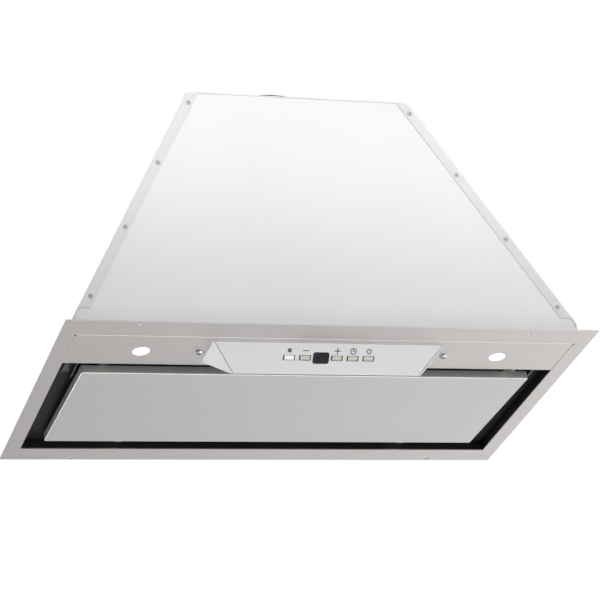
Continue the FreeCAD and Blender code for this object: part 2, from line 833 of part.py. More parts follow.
def control_end_cap(name, side):
    """A triangular plate that closes one hipped end."""
    wedge = new_body(f"control_wedge_{name}")
    add(wedge, "YZ", "-control_half", "control_half",
        outline(("control_front", "-flange_gauge"), ("control_ridge", "control_bottom"),
                ("control_rear", "-flange_gauge")))
    round_edges(wedge, "bend_radius", along_x_at("control_ridge", "control_bottom"))
    slab = new_body(f"control_slab_{name}")
    add(slab, "XZ", "control_front - cut_overrun", "control_rear + cut_overrun",
        outline((f"{side}control_half", "-flange_gauge"), (f"{side}ridge_half", "control_bottom"),
                (f"{side}(ridge_half - hip_cap_offset)", "control_bottom"),
                (f"{side}(control_half - hip_cap_offset)", "-flange_gauge")))
    label = f"control_end_cap_{name}"
    node(label, common(label, wedge, slab))


def control_parts():
    control_housing()
    control_end_cap("left", "-")
    control_end_cap("right", "")
    window = new_body("display_window")
    add(window, "XY", "0", "control_gauge + key_recess", display_outline("0"))
    round_edges(window, "display_corner", upright)
    add(window, "XY", "control_gauge + key_recess",
        "control_gauge + key_recess + display_lip_thickness", display_outline("display_lip"))
    node("display_window", on_face(window))
    module = new_body("display_module")
    add(module, "XY", "control_gauge + key_recess + display_lip_thickness", "board_setback",
        display_outline("0"))
    node("display_module", on_face(module))
    board = new_body("control_board")
    add(board, "XY", "board_setback", "board_setback + board_thickness",
        rectangle("-board_length / 2", "board_length / 2", "key_line - board_width / 2",
                  "key_line + board_width / 2"))
    node("control_board", on_face(board))
    switches = []
    for name, x in KEYS.items():
        switch = new_body(f"switch_{name}")
        half = "switch_width / 2"
        add(switch, "XY", "board_setback - switch_height", "board_setback",
            rectangle(f"{station(x)} - {half}", f"{station(x)} + {half}", f"key_line - {half}",
                      f"key_line + {half}"))
        switches.append(on_face(switch))
        push_button(name, x)
    node("tact_switches", group("tact_switches", switches))


def push_button(name, x):
    """A cap in its slot, a lip behind the face and a stem towards its switch."""
    button = new_body(f"button_{name}")
    lip = "control_gauge + key_recess"
    add(button, "XY", "key_recess", lip, key_outline(x, "0"))
    round_edges(button, "key_corner", upright)
    add(button, "XY", lip, f"{lip} + key_lip_thickness", key_outline(x, "key_lip"))
    half = "key_stem / 2"
    add(button, "XY", f"{lip} + key_lip_thickness",
        "board_setback - switch_height - key_travel - switch_gap",
        rectangle(f"{station(x)} - {half}", f"{station(x)} + {half}", f"key_line - {half}",
                  f"key_line + {half}"))
    node(button.Name, on_face(button))


# Body: folded sheets, riveted along lapped edges

def rivet_spots():
    """X and Z of each rivet on one lapped edge, for both sides."""
    spots = []
    for share in RIVET_SHARES:
        level = f"(lap_bottom + (sheet_top - lap_bottom) * {share})"
        edge = f"body_side - ({level} - collar_height) * side_lean"
        reach = f"({edge} - lap_width * {RIVET_INSET_SHARE})"
        spots += [(f"-{reach}", level), (reach, level)]
    return spots


def rivet_holes(body, low, high):
    remove(body, "XZ", low, high,
           *[disc(x, z, "rivet_radius + rivet_clearance") for x, z in rivet_spots()])


def sheet_outline():
    side, top = "sheet_side", "sheet_top_side"
    return outline((f"-{side}", "0"), (side, "0"), (side, "collar_height"), (top, "sheet_top"),
                   (f"-{top}", "sheet_top"), (f"-{side}", "collar_height"))


def screw_holes(line):
    return [disc(f"{side}screw_side", line, "screw_hole_radius") for side in ("-", "")]


def body_sheets():
    """The front and rear sheets stand on outward feet that lie on the trim frame."""
    foot = ("-sheet_side + foot_end_inset", "sheet_side - foot_end_inset")
    front = new_body("front_sheet")
    add(front, "XZ", "body_front", "front_inner", sheet_outline())
    add(front, "XY", "0", "body_gauge", rectangle(*foot, "flange_front + foot_edge_inset", "front_inner"))
    remove(front, "XY", "-cut_overrun", "body_gauge + cut_overrun", *screw_holes("screw_front"))
    rivet_holes(front, "body_front - cut_overrun", "front_inner + cut_overrun")
    node("front_sheet", front)
    rear = new_body("rear_sheet")
    add(rear, "XZ", "rear_inner", "body_rear", sheet_outline())
    add(rear, "XY", "0", "body_gauge", rectangle(*foot, "rear_inner", "flange_rear - foot_edge_inset"))
    remove(rear, "XY", "-cut_overrun", "body_gauge + cut_overrun", *screw_holes("screw_rear"))
    rivet_holes(rear, "rear_inner - cut_overrun", "body_rear + cut_overrun")
    node("rear_sheet", rear)
    side_panel("left", "-")
    side_panel("right", "")


def side_panel(name, side):
    """A wall that leans in above a short collar, lapped over the front and rear sheets."""
    panel = new_body(f"side_panel_{name}")
    front, rear = "body_front - body_gauge", "body_rear + body_gauge"
    add(panel, "XZ", front, rear,
        outline((f"{side}body_side", "0"), (f"{side}body_side", "collar_height"),
                (f"{side}body_top_side", "sheet_top"),
                (f"{side}(body_top_side - body_gauge)", "sheet_top"),
                (f"{side}(body_side - body_gauge)", "collar_height"),
                (f"{side}(body_side - body_gauge)", "0")))
    lap = outline((f"{side}lap_bottom_side", "lap_bottom"), (f"{side}body_top_side", "sheet_top"),
                  (f"{side}(body_top_side - lap_width)", "sheet_top"),
                  (f"{side}(lap_bottom_side - lap_width)", "lap_bottom"))
    add(panel, "XZ", "body_front + foot_end_inset", "body_rear - foot_end_inset",
        outline((f"{side}(body_side - body_gauge)", "0"),
                (f"{side}(flange_width / 2 - foot_edge_inset)", "0"),
                (f"{side}(flange_width / 2 - foot_edge_inset)", "body_gauge"),
                (f"{side}(body_side - body_gauge)", "body_gauge")))
    add(panel, "XZ", front, "body_front", lap)
    add(panel, "XZ", "body_rear", rear, lap)
    spots = [(x, z) for x, z in rivet_spots() if x.startswith("-") == (side == "-")]
    remove(panel, "XZ", f"{front} - cut_overrun", f"{rear} + cut_overrun",
           *[disc(x, z, "rivet_radius + rivet_clearance") for x, z in spots])
    node(panel.Name, panel)


def body_rivets():
    rivets = []
    lapped = "body_gauge * 2"
    for index, (x, z) in enumerate(rivet_spots()):
        for end, face, way in (("front", "body_front - body_gauge", 1),
                               ("rear", "body_rear + body_gauge", -1)):
            inside = f"{face} + {way} * {lapped}"
            spans = (("head", "rivet_head_radius", face, f"{face} - {way} * rivet_head_height"),
                     ("shank", "rivet_radius", face, inside),
                     ("tail", f"rivet_head_radius * {RIVET_TAIL_SHARE}", inside,
                      f"{inside} + {way} * rivet_tail_height"))
            pieces = []
            for part, radius, start, stop in spans:
                low, high = (start, stop) if value(start) < value(stop) else (stop, start)
                pieces.append(stud(f"rivet_{part}_{end}_{index}", radius, x, z, low, high))
            rivets.append(join(f"rivet_{end}_{index}", *pieces))
    node("body_rivets", group("body_rivets", rivets))


def top_plate():
    plate = new_body("top_plate")
    front, rear = "body_front - body_gauge", "body_rear + body_gauge"
    add(plate, "XY", "sheet_top", "body_height",
        rectangle("-body_top_side", "body_top_side", front, rear))
    fold = ("-body_top_side + lap_width * 2", "body_top_side - lap_width * 2")
    add(plate, "XY", "sheet_top - top_fold", "body_height",
        rectangle(*fold, "front_inner + lap_gap", "front_inner + lap_gap + body_gauge"),
        rectangle(*fold, "rear_inner - lap_gap - body_gauge", "rear_inner - lap_gap"))
    remove(plate, "XY", "sheet_top - cut_overrun", "body_height + cut_overrun",
           disc("0", "outlet_y", "collar_bore"),
           disc("gland_x", "gland_y", "gland_radius + rivet_clearance"),
           *[disc(x, y, "collar_screw_radius + rivet_clearance") for x, y in collar_screw_spots()])
    node("top_plate", plate)


# Outlet collar with two non-return flaps on one pin

def collar_screw_spots():
    spots = []
    for index in range(COLLAR_SCREWS):
        turn = f"({index} * 360 / {COLLAR_SCREWS} + {COLLAR_SCREW_TURN})"
        spots.append((f"collar_screw_circle * cos({turn})",
                      f"outlet_y + collar_screw_circle * sin({turn})"))
    return spots


def outlet_collar():
    collar = new_body("outlet_collar")
    tube_top = "body_height + outlet_height"
    ledge = "body_height + flap_ledge_height"
    revolved(collar, "XZ", "Z_Axis",
             outline(("collar_bore", "body_height"), ("outlet_flange_radius", "body_height"),
                     ("outlet_flange_radius", "body_height + outlet_flange_thickness"),
                     ("outlet_radius", "body_height + outlet_flange_thickness"),
                     ("outlet_radius", f"{tube_top} - outlet_lead"),
                     ("outlet_radius - outlet_lead", tube_top), ("collar_bore", tube_top),
                     ("collar_bore", "flap_ledge_top"),
                     ("collar_bore - flap_ledge_width", "flap_ledge_top"),
                     ("collar_bore - flap_ledge_width", ledge), ("collar_bore", ledge)))
    reach = "(collar_bore + pin_socket)"
    remove(collar, "YZ", f"-{reach}", reach, disc("0", "flap_level", "flap_pin_radius + pin_clearance"))
    remove(collar, "XY", "body_height - cut_overrun", "body_height + outlet_flange_thickness + cut_overrun",
           *[disc(x, f"{y} - outlet_y", "collar_screw_radius + rivet_clearance")
             for x, y in collar_screw_spots()])
    place(collar, y="outlet_y")
    node("outlet_collar", collar)
    screws = []
    for index, at in enumerate(collar_screw_spots()):
        seat = "body_height + outlet_flange_thickness"
        head = post(f"collar_head_{index}", "collar_screw_head", *at, seat,
                    f"{seat} + strip_head_height")
        shank = post(f"collar_shank_{index}", "collar_screw_radius", *at,
                     f"{seat} - collar_screw_length", seat)
        screws.append(join(f"collar_screw_{index}", head, shank))
    node("collar_screws", group("collar_screws", screws))
    end = "collar_bore + pin_socket - pin_clearance"
    node("flap_pin", rod("flap_pin", "flap_pin_radius", f"-({end})", end, "outlet_y", "flap_level"))


def outlet_flap(name, way, knuckles):
    """Half a disc with knuckles round the pin; way is the side of the pin that it covers."""
    half = doc.addObject("Part::Cylinder", f"flap_disc_{name}")
    half.Angle = 180
    half.Placement.Rotation = FreeCAD.Rotation(Vector(0, 0, 1), 0 if way > 0 else 180)
    bind(half, Radius="flap_radius", Height="flap_thickness")
    place(half, "0", "outlet_y", "flap_level - flap_thickness / 2")
    plate = cut(f"flap_plate_{name}", half,
                block(f"flap_room_{name}", ("-outlet_radius", "outlet_radius"),
                      ("outlet_y - flap_hub", "outlet_y + flap_hub"),
                      ("flap_level - flap_thickness", "flap_level + flap_thickness")))
    pieces = [plate]
    for index, centre in enumerate(knuckles):
        low = f"({centre}) - flap_knuckle_length / 2"
        high = f"({centre}) + flap_knuckle_length / 2"
        pieces.append(rod(f"flap_knuckle_{name}_{index}", "flap_knuckle_radius", low, high,
                          "outlet_y", "flap_level"))
        far = "(flap_hub + flap_gap)"
        along = ("outlet_y", f"outlet_y + {far}") if way > 0 else (f"outlet_y - {far}", "outlet_y")
        pieces.append(block(f"flap_web_{name}_{index}", (low, high), along,
                            ("flap_level - flap_thickness / 2", "flap_level + flap_thickness / 2")))
    bore = rod(f"flap_bore_{name}", "flap_pin_radius + pin_clearance", "-outlet_radius",
               "outlet_radius", "outlet_y", "flap_level")
    node(f"flap_{name}", cut(f"flap_{name}", join(f"flap_whole_{name}", *pieces), bore))


# Blower: a scroll in two halves, a double-inlet wheel and its motor

def yz_face(x, edges):
    """A face across X from edges that are drawn in (y, z) about the fan's axis."""
    shift = Vector(x, value("fan_y"), value("fan_height"))
    face = Part.Face(Part.Wire(edges))
    face.translate(shift)
    return face


def scroll_edges(wall):
    """The casing's outline by the four-centre method, a wall's thickness outside the air path."""
    step, off, start = value("scroll_step"), value("scroll_offset"), value("scroll_start_radius")
    neck, end = value("scroll_neck"), value("scroll_end_reach")
    centres = ((-off, -off), (off, -off), (off, off))
    left = -off - wall
    edges = []
    begin = Vector(0, left, -off + math.sqrt((start + wall) ** 2 - wall ** 2))
    first = begin
    for quarter, (cy, cz) in enumerate(centres):
        radius = start + wall + quarter * step
        turn = math.radians(180 + 90 * quarter)
        stop = Vector(0, cy + radius * math.cos(turn), cz + radius * math.sin(turn))
        middle_turn = turn - math.radians(45)
        middle = Vector(0, cy + radius * math.cos(middle_turn), cz + radius * math.sin(middle_turn))
        edges.append(Part.Arc(begin, middle, stop).toShape())
        begin = stop
    corners = [begin, Vector(0, end + wall, neck), Vector(0, left, neck), first]
    edges += [Part.LineSegment(a, b).toShape() for a, b in zip(corners, corners[1:])]
    return edges


def scroll_half(name, side):
    half, wall = value("scroll_half"), value("scroll_wall")
    over = value("cut_overrun")
    axis = Vector(0, value("fan_y"), value("fan_height"))
    outward = Vector(side, 0, 0)
    shell = yz_face(0, scroll_edges(wall)).extrude(outward * (half + wall))
    off, rim = value("scroll_offset"), value("scroll_rim")
    neck, reach = value("scroll_neck"), value("scroll_end_reach")
    flange = Part.makeBox(half + wall + rim, reach + off + 2 * (wall + rim), wall,
                          Vector(0 if side > 0 else -(half + wall + rim), axis.y - off - wall - rim,
                                 axis.z + neck - wall))
    lip = Part.makeCylinder(value("inlet_radius") + wall, value("inlet_lip") + wall,
                            axis + outward * (half - value("inlet_lip")), outward)
    air = yz_face(0, scroll_edges(0)).extrude(outward * half)
    hole = Part.makeCylinder(value("inlet_radius"), half + over, axis + outward * wall, outward)
    mouth = Part.makeBox(half, reach + off, over * 2,
                         Vector(0 if side > 0 else -half, axis.y - off, axis.z + neck - over))
    shape = shell.fuse(flange).cut(air).fuse(lip).cut(hole).cut(mouth).removeSplitter()
    node(f"scroll_{name}", solid_feature(f"scroll_{name}", shape))


def outlet_adapter():
    """A folded square-to-round transition between the scroll's neck and the collar."""
    neck, top = value("neck_level"), value("sheet_top")

    def skin(half_x, low_y, high_y, radius):
        """Flat faces: one from each side of the neck, and a fan of folds from each corner."""
        middle = (low_y + high_y) / 2
        corners = [Vector(x, y, neck) for x, y in ((half_x, high_y), (-half_x, high_y),
                                                   (-half_x, low_y), (half_x, low_y))]
        count = len(corners) * ADAPTER_FOLDS
        turns = [math.radians(360 * fold / count) for fold in range(count)]
        ring = [Vector(radius * math.cos(turn), middle + radius * math.sin(turn), top) for turn in turns]
        outlines = [corners, ring]
        for quarter, corner in enumerate(corners):
            first = quarter * ADAPTER_FOLDS
            for fold in range(first, first + ADAPTER_FOLDS):
                outlines.append((corner, ring[fold], ring[(fold + 1) % count]))
            outlines.append((corner, ring[(first + ADAPTER_FOLDS) % count],
                             corners[(quarter + 1) % len(corners)]))
        faces = [Part.Face(Part.makePolygon([*points, points[0]])) for points in outlines]
        return Part.Solid(Part.Shell(faces))

    wall, half = value("scroll_wall"), value("scroll_half")
    low_y = value("fan_y") - value("scroll_offset")
    high_y = value("fan_y") + value("scroll_end_reach")
    bore = value("collar_bore")
    outer = skin(half + wall, low_y - wall, high_y + wall, bore + wall)
    inner = skin(half, low_y, high_y, bore)
    node("outlet_adapter", solid_feature("outlet_adapter", outer.cut(inner)))


def fan_wheel():
    """Two rows of forward-leaning blades between end rings, either side of a hub disc."""
    radius, depth, width = value("fan_radius"), value("fan_blade_depth"), value("fan_width")
    gauge, lean, ring = value("fan_blade_gauge"), value("fan_blade_lean"), value("fan_ring")
    half = width / 2
    along = Vector(1, 0, 0)

    def drum(outer, inner, low, high):
        shape = Part.makeCylinder(outer, high - low, Vector(low, 0, 0), along)
        return shape.cut(Part.makeCylinder(inner, high - low, Vector(low, 0, 0), along))

    bore = value("shaft_radius + pin_clearance")
    disc_half, hub = value("fan_disc") / 2, value("hub_radius")
    inner, outer = radius - depth, radius
    pieces = [drum(outer, bore, -disc_half, disc_half),
              drum(hub, bore, -value("hub_length") / 2, value("hub_length") / 2),
              drum(outer, inner, -half, -half + ring), drum(outer, inner, half - ring, half)]
    root, tip = inner + gauge, outer - gauge / 2

    def blade_edge(offset):
        points = [Vector(-half + ring / 2, share * share * lean + offset, root + share * (tip - root))
                  for share in (0, 0.5, 1)]
        return points

    front, back = blade_edge(0), blade_edge(gauge)
    edges = [Part.Arc(*front).toShape(), Part.LineSegment(front[2], back[2]).toShape(),
             Part.Arc(*reversed(back)).toShape(), Part.LineSegment(back[0], front[0]).toShape()]
    blade = Part.Face(Part.Wire(edges)).extrude(along * (width - ring))
    for index in range(BLADE_COUNT):
        turned = blade.copy()
        turned.rotate(Vector(), along, index * 360 / BLADE_COUNT)
        pieces.append(turned)
    shape = pieces[0].multiFuse(pieces[1:]).removeSplitter()
    item = solid_feature("fan_wheel", shape)
    place(item, y="fan_y", z="fan_height")
    node("fan_wheel", item)


def blower_drive():
    motor = new_body("motor_can")
    outer, inner = "motor_outer", "motor_inner"
    bore, shoulder = "shaft_radius + pin_clearance", "motor_radius - motor_shoulder"
    revolved(motor, "XY", "X_Axis",
             outline((outer, "0"), (outer, "motor_radius - motor_end_inset"),
                     (f"{outer} + motor_boss", "motor_radius - motor_end_inset"),
                     (f"{outer} + motor_boss", shoulder),
                     (f"{outer} + motor_boss + motor_shoulder", "motor_radius"),
                     (f"{inner} - motor_boss - motor_shoulder", "motor_radius"),
                     (f"{inner} - motor_boss", shoulder), (f"{inner} - motor_boss", "motor_boss_radius"),
                     (inner, "motor_boss_radius"), (inner, bore), ("shaft_start - seam_gap", bore),
                     ("shaft_start - seam_gap", "0")))
    slot = remove(motor, "XZ", "-motor_radius - cut_overrun", "-motor_radius + motor_slot_depth",
                  rectangle(f"{outer} + motor_boss + motor_shoulder * 2",
                            f"{inner} - motor_boss - motor_shoulder * 2",
                            "-motor_slot_width / 2", "motor_slot_width / 2"))
    slots = motor.newObject("PartDesign::PolarPattern", "motor_slots")
    slots.Originals = [slot]
    slots.Axis = (origin_part(motor, "X_Axis"), [""])
    slots.Angle = 360
    slots.Occurrences = MOTOR_SLOTS
    motor.Tip = slots
    place(motor, y="fan_y", z="fan_height")
    node("motor_can", motor)
    node("motor_shaft", rod("motor_shaft", "shaft_radius", "shaft_start", "shaft_end", "fan_y",
                            "fan_height"))
    nut_start = "hub_length / 2"
    nut = doc.addObject("Part::Prism", "fan_nut_hex")
    nut.Polygon = 6
    nut.Placement.Rotation = FreeCAD.Rotation(Vector(0, 1, 0), 90)
    bind(nut, Circumradius="fan_nut_radius", Height="fan_nut_length")
    place(nut, nut_start, "fan_y", "fan_height")
    node("fan_nut", cut("fan_nut", nut, rod("fan_nut_bore", "shaft_radius + pin_clearance", "0",
                                            "hub_length + fan_nut_length", "fan_y", "fan_height")))
    motor_bracket()


def spider_spots():
    """Y and Z of the screw at the end of each spider arm, about the fan's axis."""
    turns = [f"({arm} * 360 / {SPIDER_ARMS} + {SPIDER_TURN})" for arm in range(SPIDER_ARMS)]
    return [(f"spider_reach * cos({turn})", f"spider_reach * sin({turn})") for turn in turns]


def motor_bracket():
    """A three-armed plate that holds the motor across the left inlet."""
    low, high = "motor_outer - spider_thickness", "motor_outer"
    body = new_body("motor_bracket")
    add(body, "YZ", low, high, disc("0", "0", "spider_hub_radius"))
    half = "spider_arm_width / 2"
    for arm in range(SPIDER_ARMS):
        turn = f"({arm} * 360 / {SPIDER_ARMS} + {SPIDER_TURN})"
        far = f"(spider_reach + {half})"
        add(body, "YZ", low, high,
            outline((f"{half} * sin({turn})", f"-{half} * cos({turn})"),
                    (f"{far} * cos({turn}) + {half} * sin({turn})",
                     f"{far} * sin({turn}) - {half} * cos({turn})"),
                    (f"{far} * cos({turn}) - {half} * sin({turn})",
                     f"{far} * sin({turn}) + {half} * cos({turn})"),
                    (f"-{half} * sin({turn})", f"{half} * cos({turn})")))
    place(body, y="fan_y", z="fan_height")
    node("motor_bracket", body)
    screws = [rod(f"spider_screw_{index}", "strip_screw_radius * 2", f"{low} - strip_head_height", low,
                  f"fan_y + {y}", f"fan_height + {z}") for index, (y, z) in enumerate(spider_spots())]
    node("bracket_screws", group("bracket_screws", screws))


# Electrical parts on a tray inside the rear sheet

def electrical_parts():
    tray = new_body("electrical_tray")
    shelf = "tray_height + tray_gauge"
    add(tray, "YZ", "-tray_length / 2", "tray_length / 2",
        outline(("rear_inner", "tray_height"), ("rear_inner", "tray_height + tray_leg"),
                ("rear_inner - tray_gauge", "tray_height + tray_leg"),
                ("rear_inner - tray_gauge", shelf), ("rear_inner - tray_depth", shelf),
                ("rear_inner - tray_depth", "tray_height")))
    node("electrical_tray", tray)
    middle = "rear_inner - tray_depth / 2"
    capacitor = post("motor_capacitor", "capacitor_radius", "-tray_length / 2 + capacitor_inset",
                     middle, shelf, f"{shelf} + capacitor_height")
    node("motor_capacitor", capacitor)
    box = new_body("terminal_box")
    right = "tray_length / 2 - terminal_inset"
    left = f"{right} - terminal_length"
    front, rear = f"{middle} - terminal_depth / 2", f"{middle} + terminal_depth / 2"
    add(box, "XY", shelf, f"{shelf} + terminal_height", rectangle(left, right, front, rear))
    round_edges(box, "terminal_wall", upright)
    node("terminal_box", box)
    gland = new_body("gland_round")
    top = "body_height + gland_hex_height"
    dome = f"{top} + gland_dome_height"
    tail = "sheet_top - gland_nut_height - gland_tail"
    revolved(gland, "XZ", "Z_Axis",
             outline(("0", tail), ("gland_radius", tail), ("gland_radius", top),
                     (f"gland_radius * {GLAND_SHOULDER_SHARE}", top), ("gland_radius", dome), ("0", dome)))
    place(gland, "gland_x", "gland_y")
    collar = doc.addObject("Part::Prism", "gland_hex")
    collar.Polygon = 6
    bind(collar, Circumradius="gland_hex_radius", Height="gland_hex_height")
    place(collar, "gland_x", "gland_y", "body_height")
    node("cable_gland", cut("cable_gland", join("gland_whole", gland, collar),
                            post("gland_bore", "gland_bore_radius", "gland_x", "gland_y",
                                 f"{tail} - cut_overrun", f"{dome} + cut_overrun")))
    nut = doc.addObject("Part::Prism", "gland_nut_hex")
    nut.Polygon = 6
    bind(nut, Circumradius="gland_hex_radius", Height="gland_nut_height")
    place(nut, "gland_x", "gland_y", "sheet_top - gland_nut_height")
    node("gland_nut", cut("gland_nut", nut, post("gland_nut_bore", "gland_radius + pin_clearance",
                                                 "gland_x", "gland_y", tail, "body_height")))
    driver = new_body("lamp_driver")
    add(driver, "XY", "driver_level", "driver_level + driver_height",
        rectangle("-driver_distance - driver_length / 2", "-driver_distance + driver_length / 2",
                  "front_inner", "front_inner + driver_depth"))
    round_edges(driver, "terminal_wall", upright)
    node("lamp_driver", driver)


# Intake surround and grease filter

def intake_surround():
    """A black pressed pan: skirt round the opening, ledge, and a rebate that holds the filter."""
    pan = new_body("intake_surround")
    gauge = "surround_gauge"
    add(pan, "XY", "0", "ledge_top",
        rectangle("-surround_side", "surround_side", "surround_front", "surround_rear"))
    remove(pan, "XY", "-cut_overrun", "surround_level",
           rectangle(f"-surround_side + {gauge}", f"surround_side - {gauge}",
                     "surround_front - cut_overrun", f"surround_rear - {gauge}"))
    room = "seam_gap"
    wall_side = f"filter_side + {room} + {gauge}"
    add(pan, "XY", "surround_level", f"rebate_top + {gauge}",
        rectangle(f"-({wall_side})", wall_side, f"filter_front - {room} - {gauge}",
                  f"filter_rear + {room} + {gauge}"))
    remove(pan, "XY", "surround_level - cut_overrun", "rebate_top",
           rectangle(f"-filter_side - {room}", f"filter_side + {room}", f"filter_front - {room}",
                     f"filter_rear + {room}"))
    remove(pan, "XY", "rebate_top - cut_overrun / 2", "rebate_top + surround_gauge + cut_overrun",
           rectangle("-filter_side + rebate_lip", "filter_side - rebate_lip",
                     "filter_front + rebate_lip", "filter_rear - rebate_lip"))
    remove(pan, "XZ", f"filter_rear + {room} - {gauge}", f"filter_rear + {room} + {gauge} * 2",
           *[rectangle(f"{side}tab_spacing / 2 - tab_width / 2 - {room}",
                       f"{side}tab_spacing / 2 + tab_width / 2 + {room}",
                       "ledge_top", f"filter_bottom + tab_thickness * 2 + {room}")
             for side in ("-", "")])
    remove(pan, "XZ", f"filter_front - {room} - {gauge} * 2", f"filter_front - {room} + {gauge}",
           rectangle("-latch_tongue_width / 2 - latch_clearance",
                     "latch_tongue_width / 2 + latch_clearance", "ledge_top",
                     "latch_bottom + latch_height"))
    node("intake_surround", pan)


def grease_filter():
    frame = new_body("filter_frame")
    add(frame, "XY", "filter_bottom", "filter_top",
        rectangle("-filter_side", "filter_side", "filter_front", "filter_rear"),
        rectangle("-window_side", "window_side", "window_front", "window_rear"))
    half = "(mesh_thickness / 2 + seam_gap)"
    groove = "(filter_groove + seam_gap)"
    remove(frame, "XY", f"filter_middle - {half}", f"filter_middle + {half}",
           rectangle(f"-window_side - {groove}", f"window_side + {groove}",
                     f"window_front - {groove}", f"window_rear + {groove}"))
    tab_low = "filter_bottom + tab_thickness"
    add(frame, "XY", tab_low, f"{tab_low} + tab_thickness",
        *[rectangle(f"{side}tab_spacing / 2 - tab_width / 2", f"{side}tab_spacing / 2 + tab_width / 2",
                    "filter_rear - filter_bar / 2", "filter_rear + tab_reach")
          for side in ("-", "")])
    remove(frame, "XY", "filter_bottom - cut_overrun",
           "latch_bottom + latch_height + latch_clearance",
           rectangle("-latch_width / 2 - latch_clearance", "latch_width / 2 + latch_clearance",
                     "filter_front - cut_overrun",
                     "latch_front + latch_depth + latch_travel + latch_clearance"))
    node("filter_frame", frame)
    mesh = new_body("filter_mesh")
    spread = rectangle("-window_side - filter_groove", "window_side + filter_groove",
                       "window_front - filter_groove", "window_rear + filter_groove")
    add(mesh, "XY", "mesh_bottom", "mesh_bottom + mesh_thickness", spread)
    node("filter_mesh", mesh)
    filter_screen()
    latch = new_body("filter_latch")
    add(latch, "XY", "latch_bottom", "latch_bottom + latch_height",
        rectangle("-latch_width / 2", "latch_width / 2", "latch_front", "latch_front + latch_depth"))
    tongue = "latch_bottom + latch_clearance"
    add(latch, "XY", tongue, f"{tongue} + latch_tongue_thickness",
        rectangle("-latch_tongue_width / 2", "latch_tongue_width / 2",
                  "latch_front - latch_tongue_reach", "latch_front + latch_depth / 2"))
    add(latch, "XY", "latch_bottom - latch_finger_drop", "latch_bottom",
        rectangle("-latch_finger_width / 2", "latch_finger_width / 2",
                  "latch_front + latch_depth - latch_tongue_thickness", "latch_front + latch_depth"))
    node("filter_latch", latch)


def filter_screen():
    """The slotted sheet on the filter's lower side, its slots in rows."""
    screen = new_body("filter_screen")
    inset = "seam_gap"
    add(screen, "XY", "filter_bottom", "filter_bottom + screen_thickness",
        rectangle(f"-window_side + {inset}", f"window_side - {inset}", f"window_front + {inset}",
                  f"window_rear - {inset}"))
    across = f"2 * window_side / {SCREEN_COLUMNS}"
    along = f"(window_rear - window_front) / {SCREEN_ROWS}"
    x = f"(-window_side + {across} / 2)"
    column = []
    for row in range(SCREEN_ROWS):
        y = f"(window_front + {along} * {row + 0.5})"
        column.append(rectangle(f"{x} - ({across} - screen_bar_across) / 2",
                                f"{x} + ({across} - screen_bar_across) / 2",
                                f"{y} - ({along} - screen_bar_along) / 2",
                                f"{y} + ({along} - screen_bar_along) / 2"))
    first = remove(screen, "XY", "filter_bottom - cut_overrun", "filter_bottom + cut_overrun",
                   *column)
    slots = screen.newObject("PartDesign::LinearPattern", "screen_slots")
    slots.Originals = [first]
    slots.Direction = (origin_part(screen, "X_Axis"), [""])
    slots.Occurrences = SCREEN_COLUMNS
    bind(slots, Length=f"{across} * {SCREEN_COLUMNS - 1}")
    screen.Tip = slots
    node("filter_screen", screen)


# Perimeter panel, hinges and catches. The panel's own frame starts at its front lower edge.

def on_panel(item):
    return tip_about_x(item, "panel_tilt", "0", "panel_front", "panel_level")


def perimeter_panel():
    panel = new_body("perimeter_panel")
    add(panel, "XY", "0", "panel_fold", rectangle("-panel_side", "panel_side", "0", "panel_depth"))
    round_edges(panel, "panel_corner", upright)
    round_edges(panel, "bend_radius", bends("0"))
    remove(panel, "XY", "panel_gauge", "panel_fold + cut_overrun",
           rectangle("-panel_side + panel_gauge", "panel_side - panel_gauge",
                     "panel_gauge", "panel_depth - panel_gauge"))
    node("perimeter_panel", on_panel(panel))
    lugs, tongues = [], []
    for index, side in enumerate(("-", "")):
        lugs.append(on_panel(panel_lug(index, f"{side}hinge_spacing / 2")))
        tongues.append(on_panel(panel_tongue(index, f"{side}catch_x")))
    node("panel_lugs", group("panel_lugs", lugs))
    node("panel_tongues", group("panel_tongues", tongues))


def panel_lug(index, x):
    """A foot on the panel's rear fold and an eye round the hinge pin."""
    lug = new_body(f"panel_lug_{index}")
    eye = ("panel_depth + hinge_back", "hinge_rise")
    low, high = f"{x} - hinge_lug_width / 2", f"{x} + hinge_lug_width / 2"
    add(lug, "YZ", low, high,
        outline(("panel_depth", "hinge_rise - hinge_eye_radius"),
                (eye[0], "hinge_rise - hinge_eye_radius"), (eye[0], "hinge_rise + hinge_eye_radius"),
                ("panel_depth", "hinge_rise + hinge_eye_radius")))
    add(lug, "YZ", low, high, disc(*eye, "hinge_eye_radius"))
    add(lug, "XY", "hinge_rise - lug_foot_height / 2", "hinge_rise + lug_foot_height / 2",
        rectangle(f"{x} - lug_foot_width / 2", f"{x} + lug_foot_width / 2", "panel_depth",
                  "panel_depth + lug_foot_gauge"))
    remove(lug, "YZ", f"{low} - cut_overrun", f"{high} + cut_overrun",
           disc(*eye, "hinge_pin_radius + pin_clearance"))
    return lug


def panel_tongue(index, x):
    """A strap inside the front fold whose tip rests over a catch."""
    tongue = new_body(f"panel_tongue_{index}")
    reach = "panel_front_gap - seam_gap - catch_gauge - catch_nose - tongue_gap"
    add(tongue, "YZ", f"{x} - tongue_width / 2", f"{x} + tongue_width / 2",
        outline(("panel_gauge + tongue_gauge", "panel_gauge"),
                ("panel_gauge + tongue_gauge", "panel_fold + tongue_gauge"),
                (f"-({reach})", "panel_fold + tongue_gauge"), (f"-({reach})", "panel_fold"),
                ("panel_gauge", "panel_fold"), ("panel_gauge", "panel_gauge")))
    return tongue


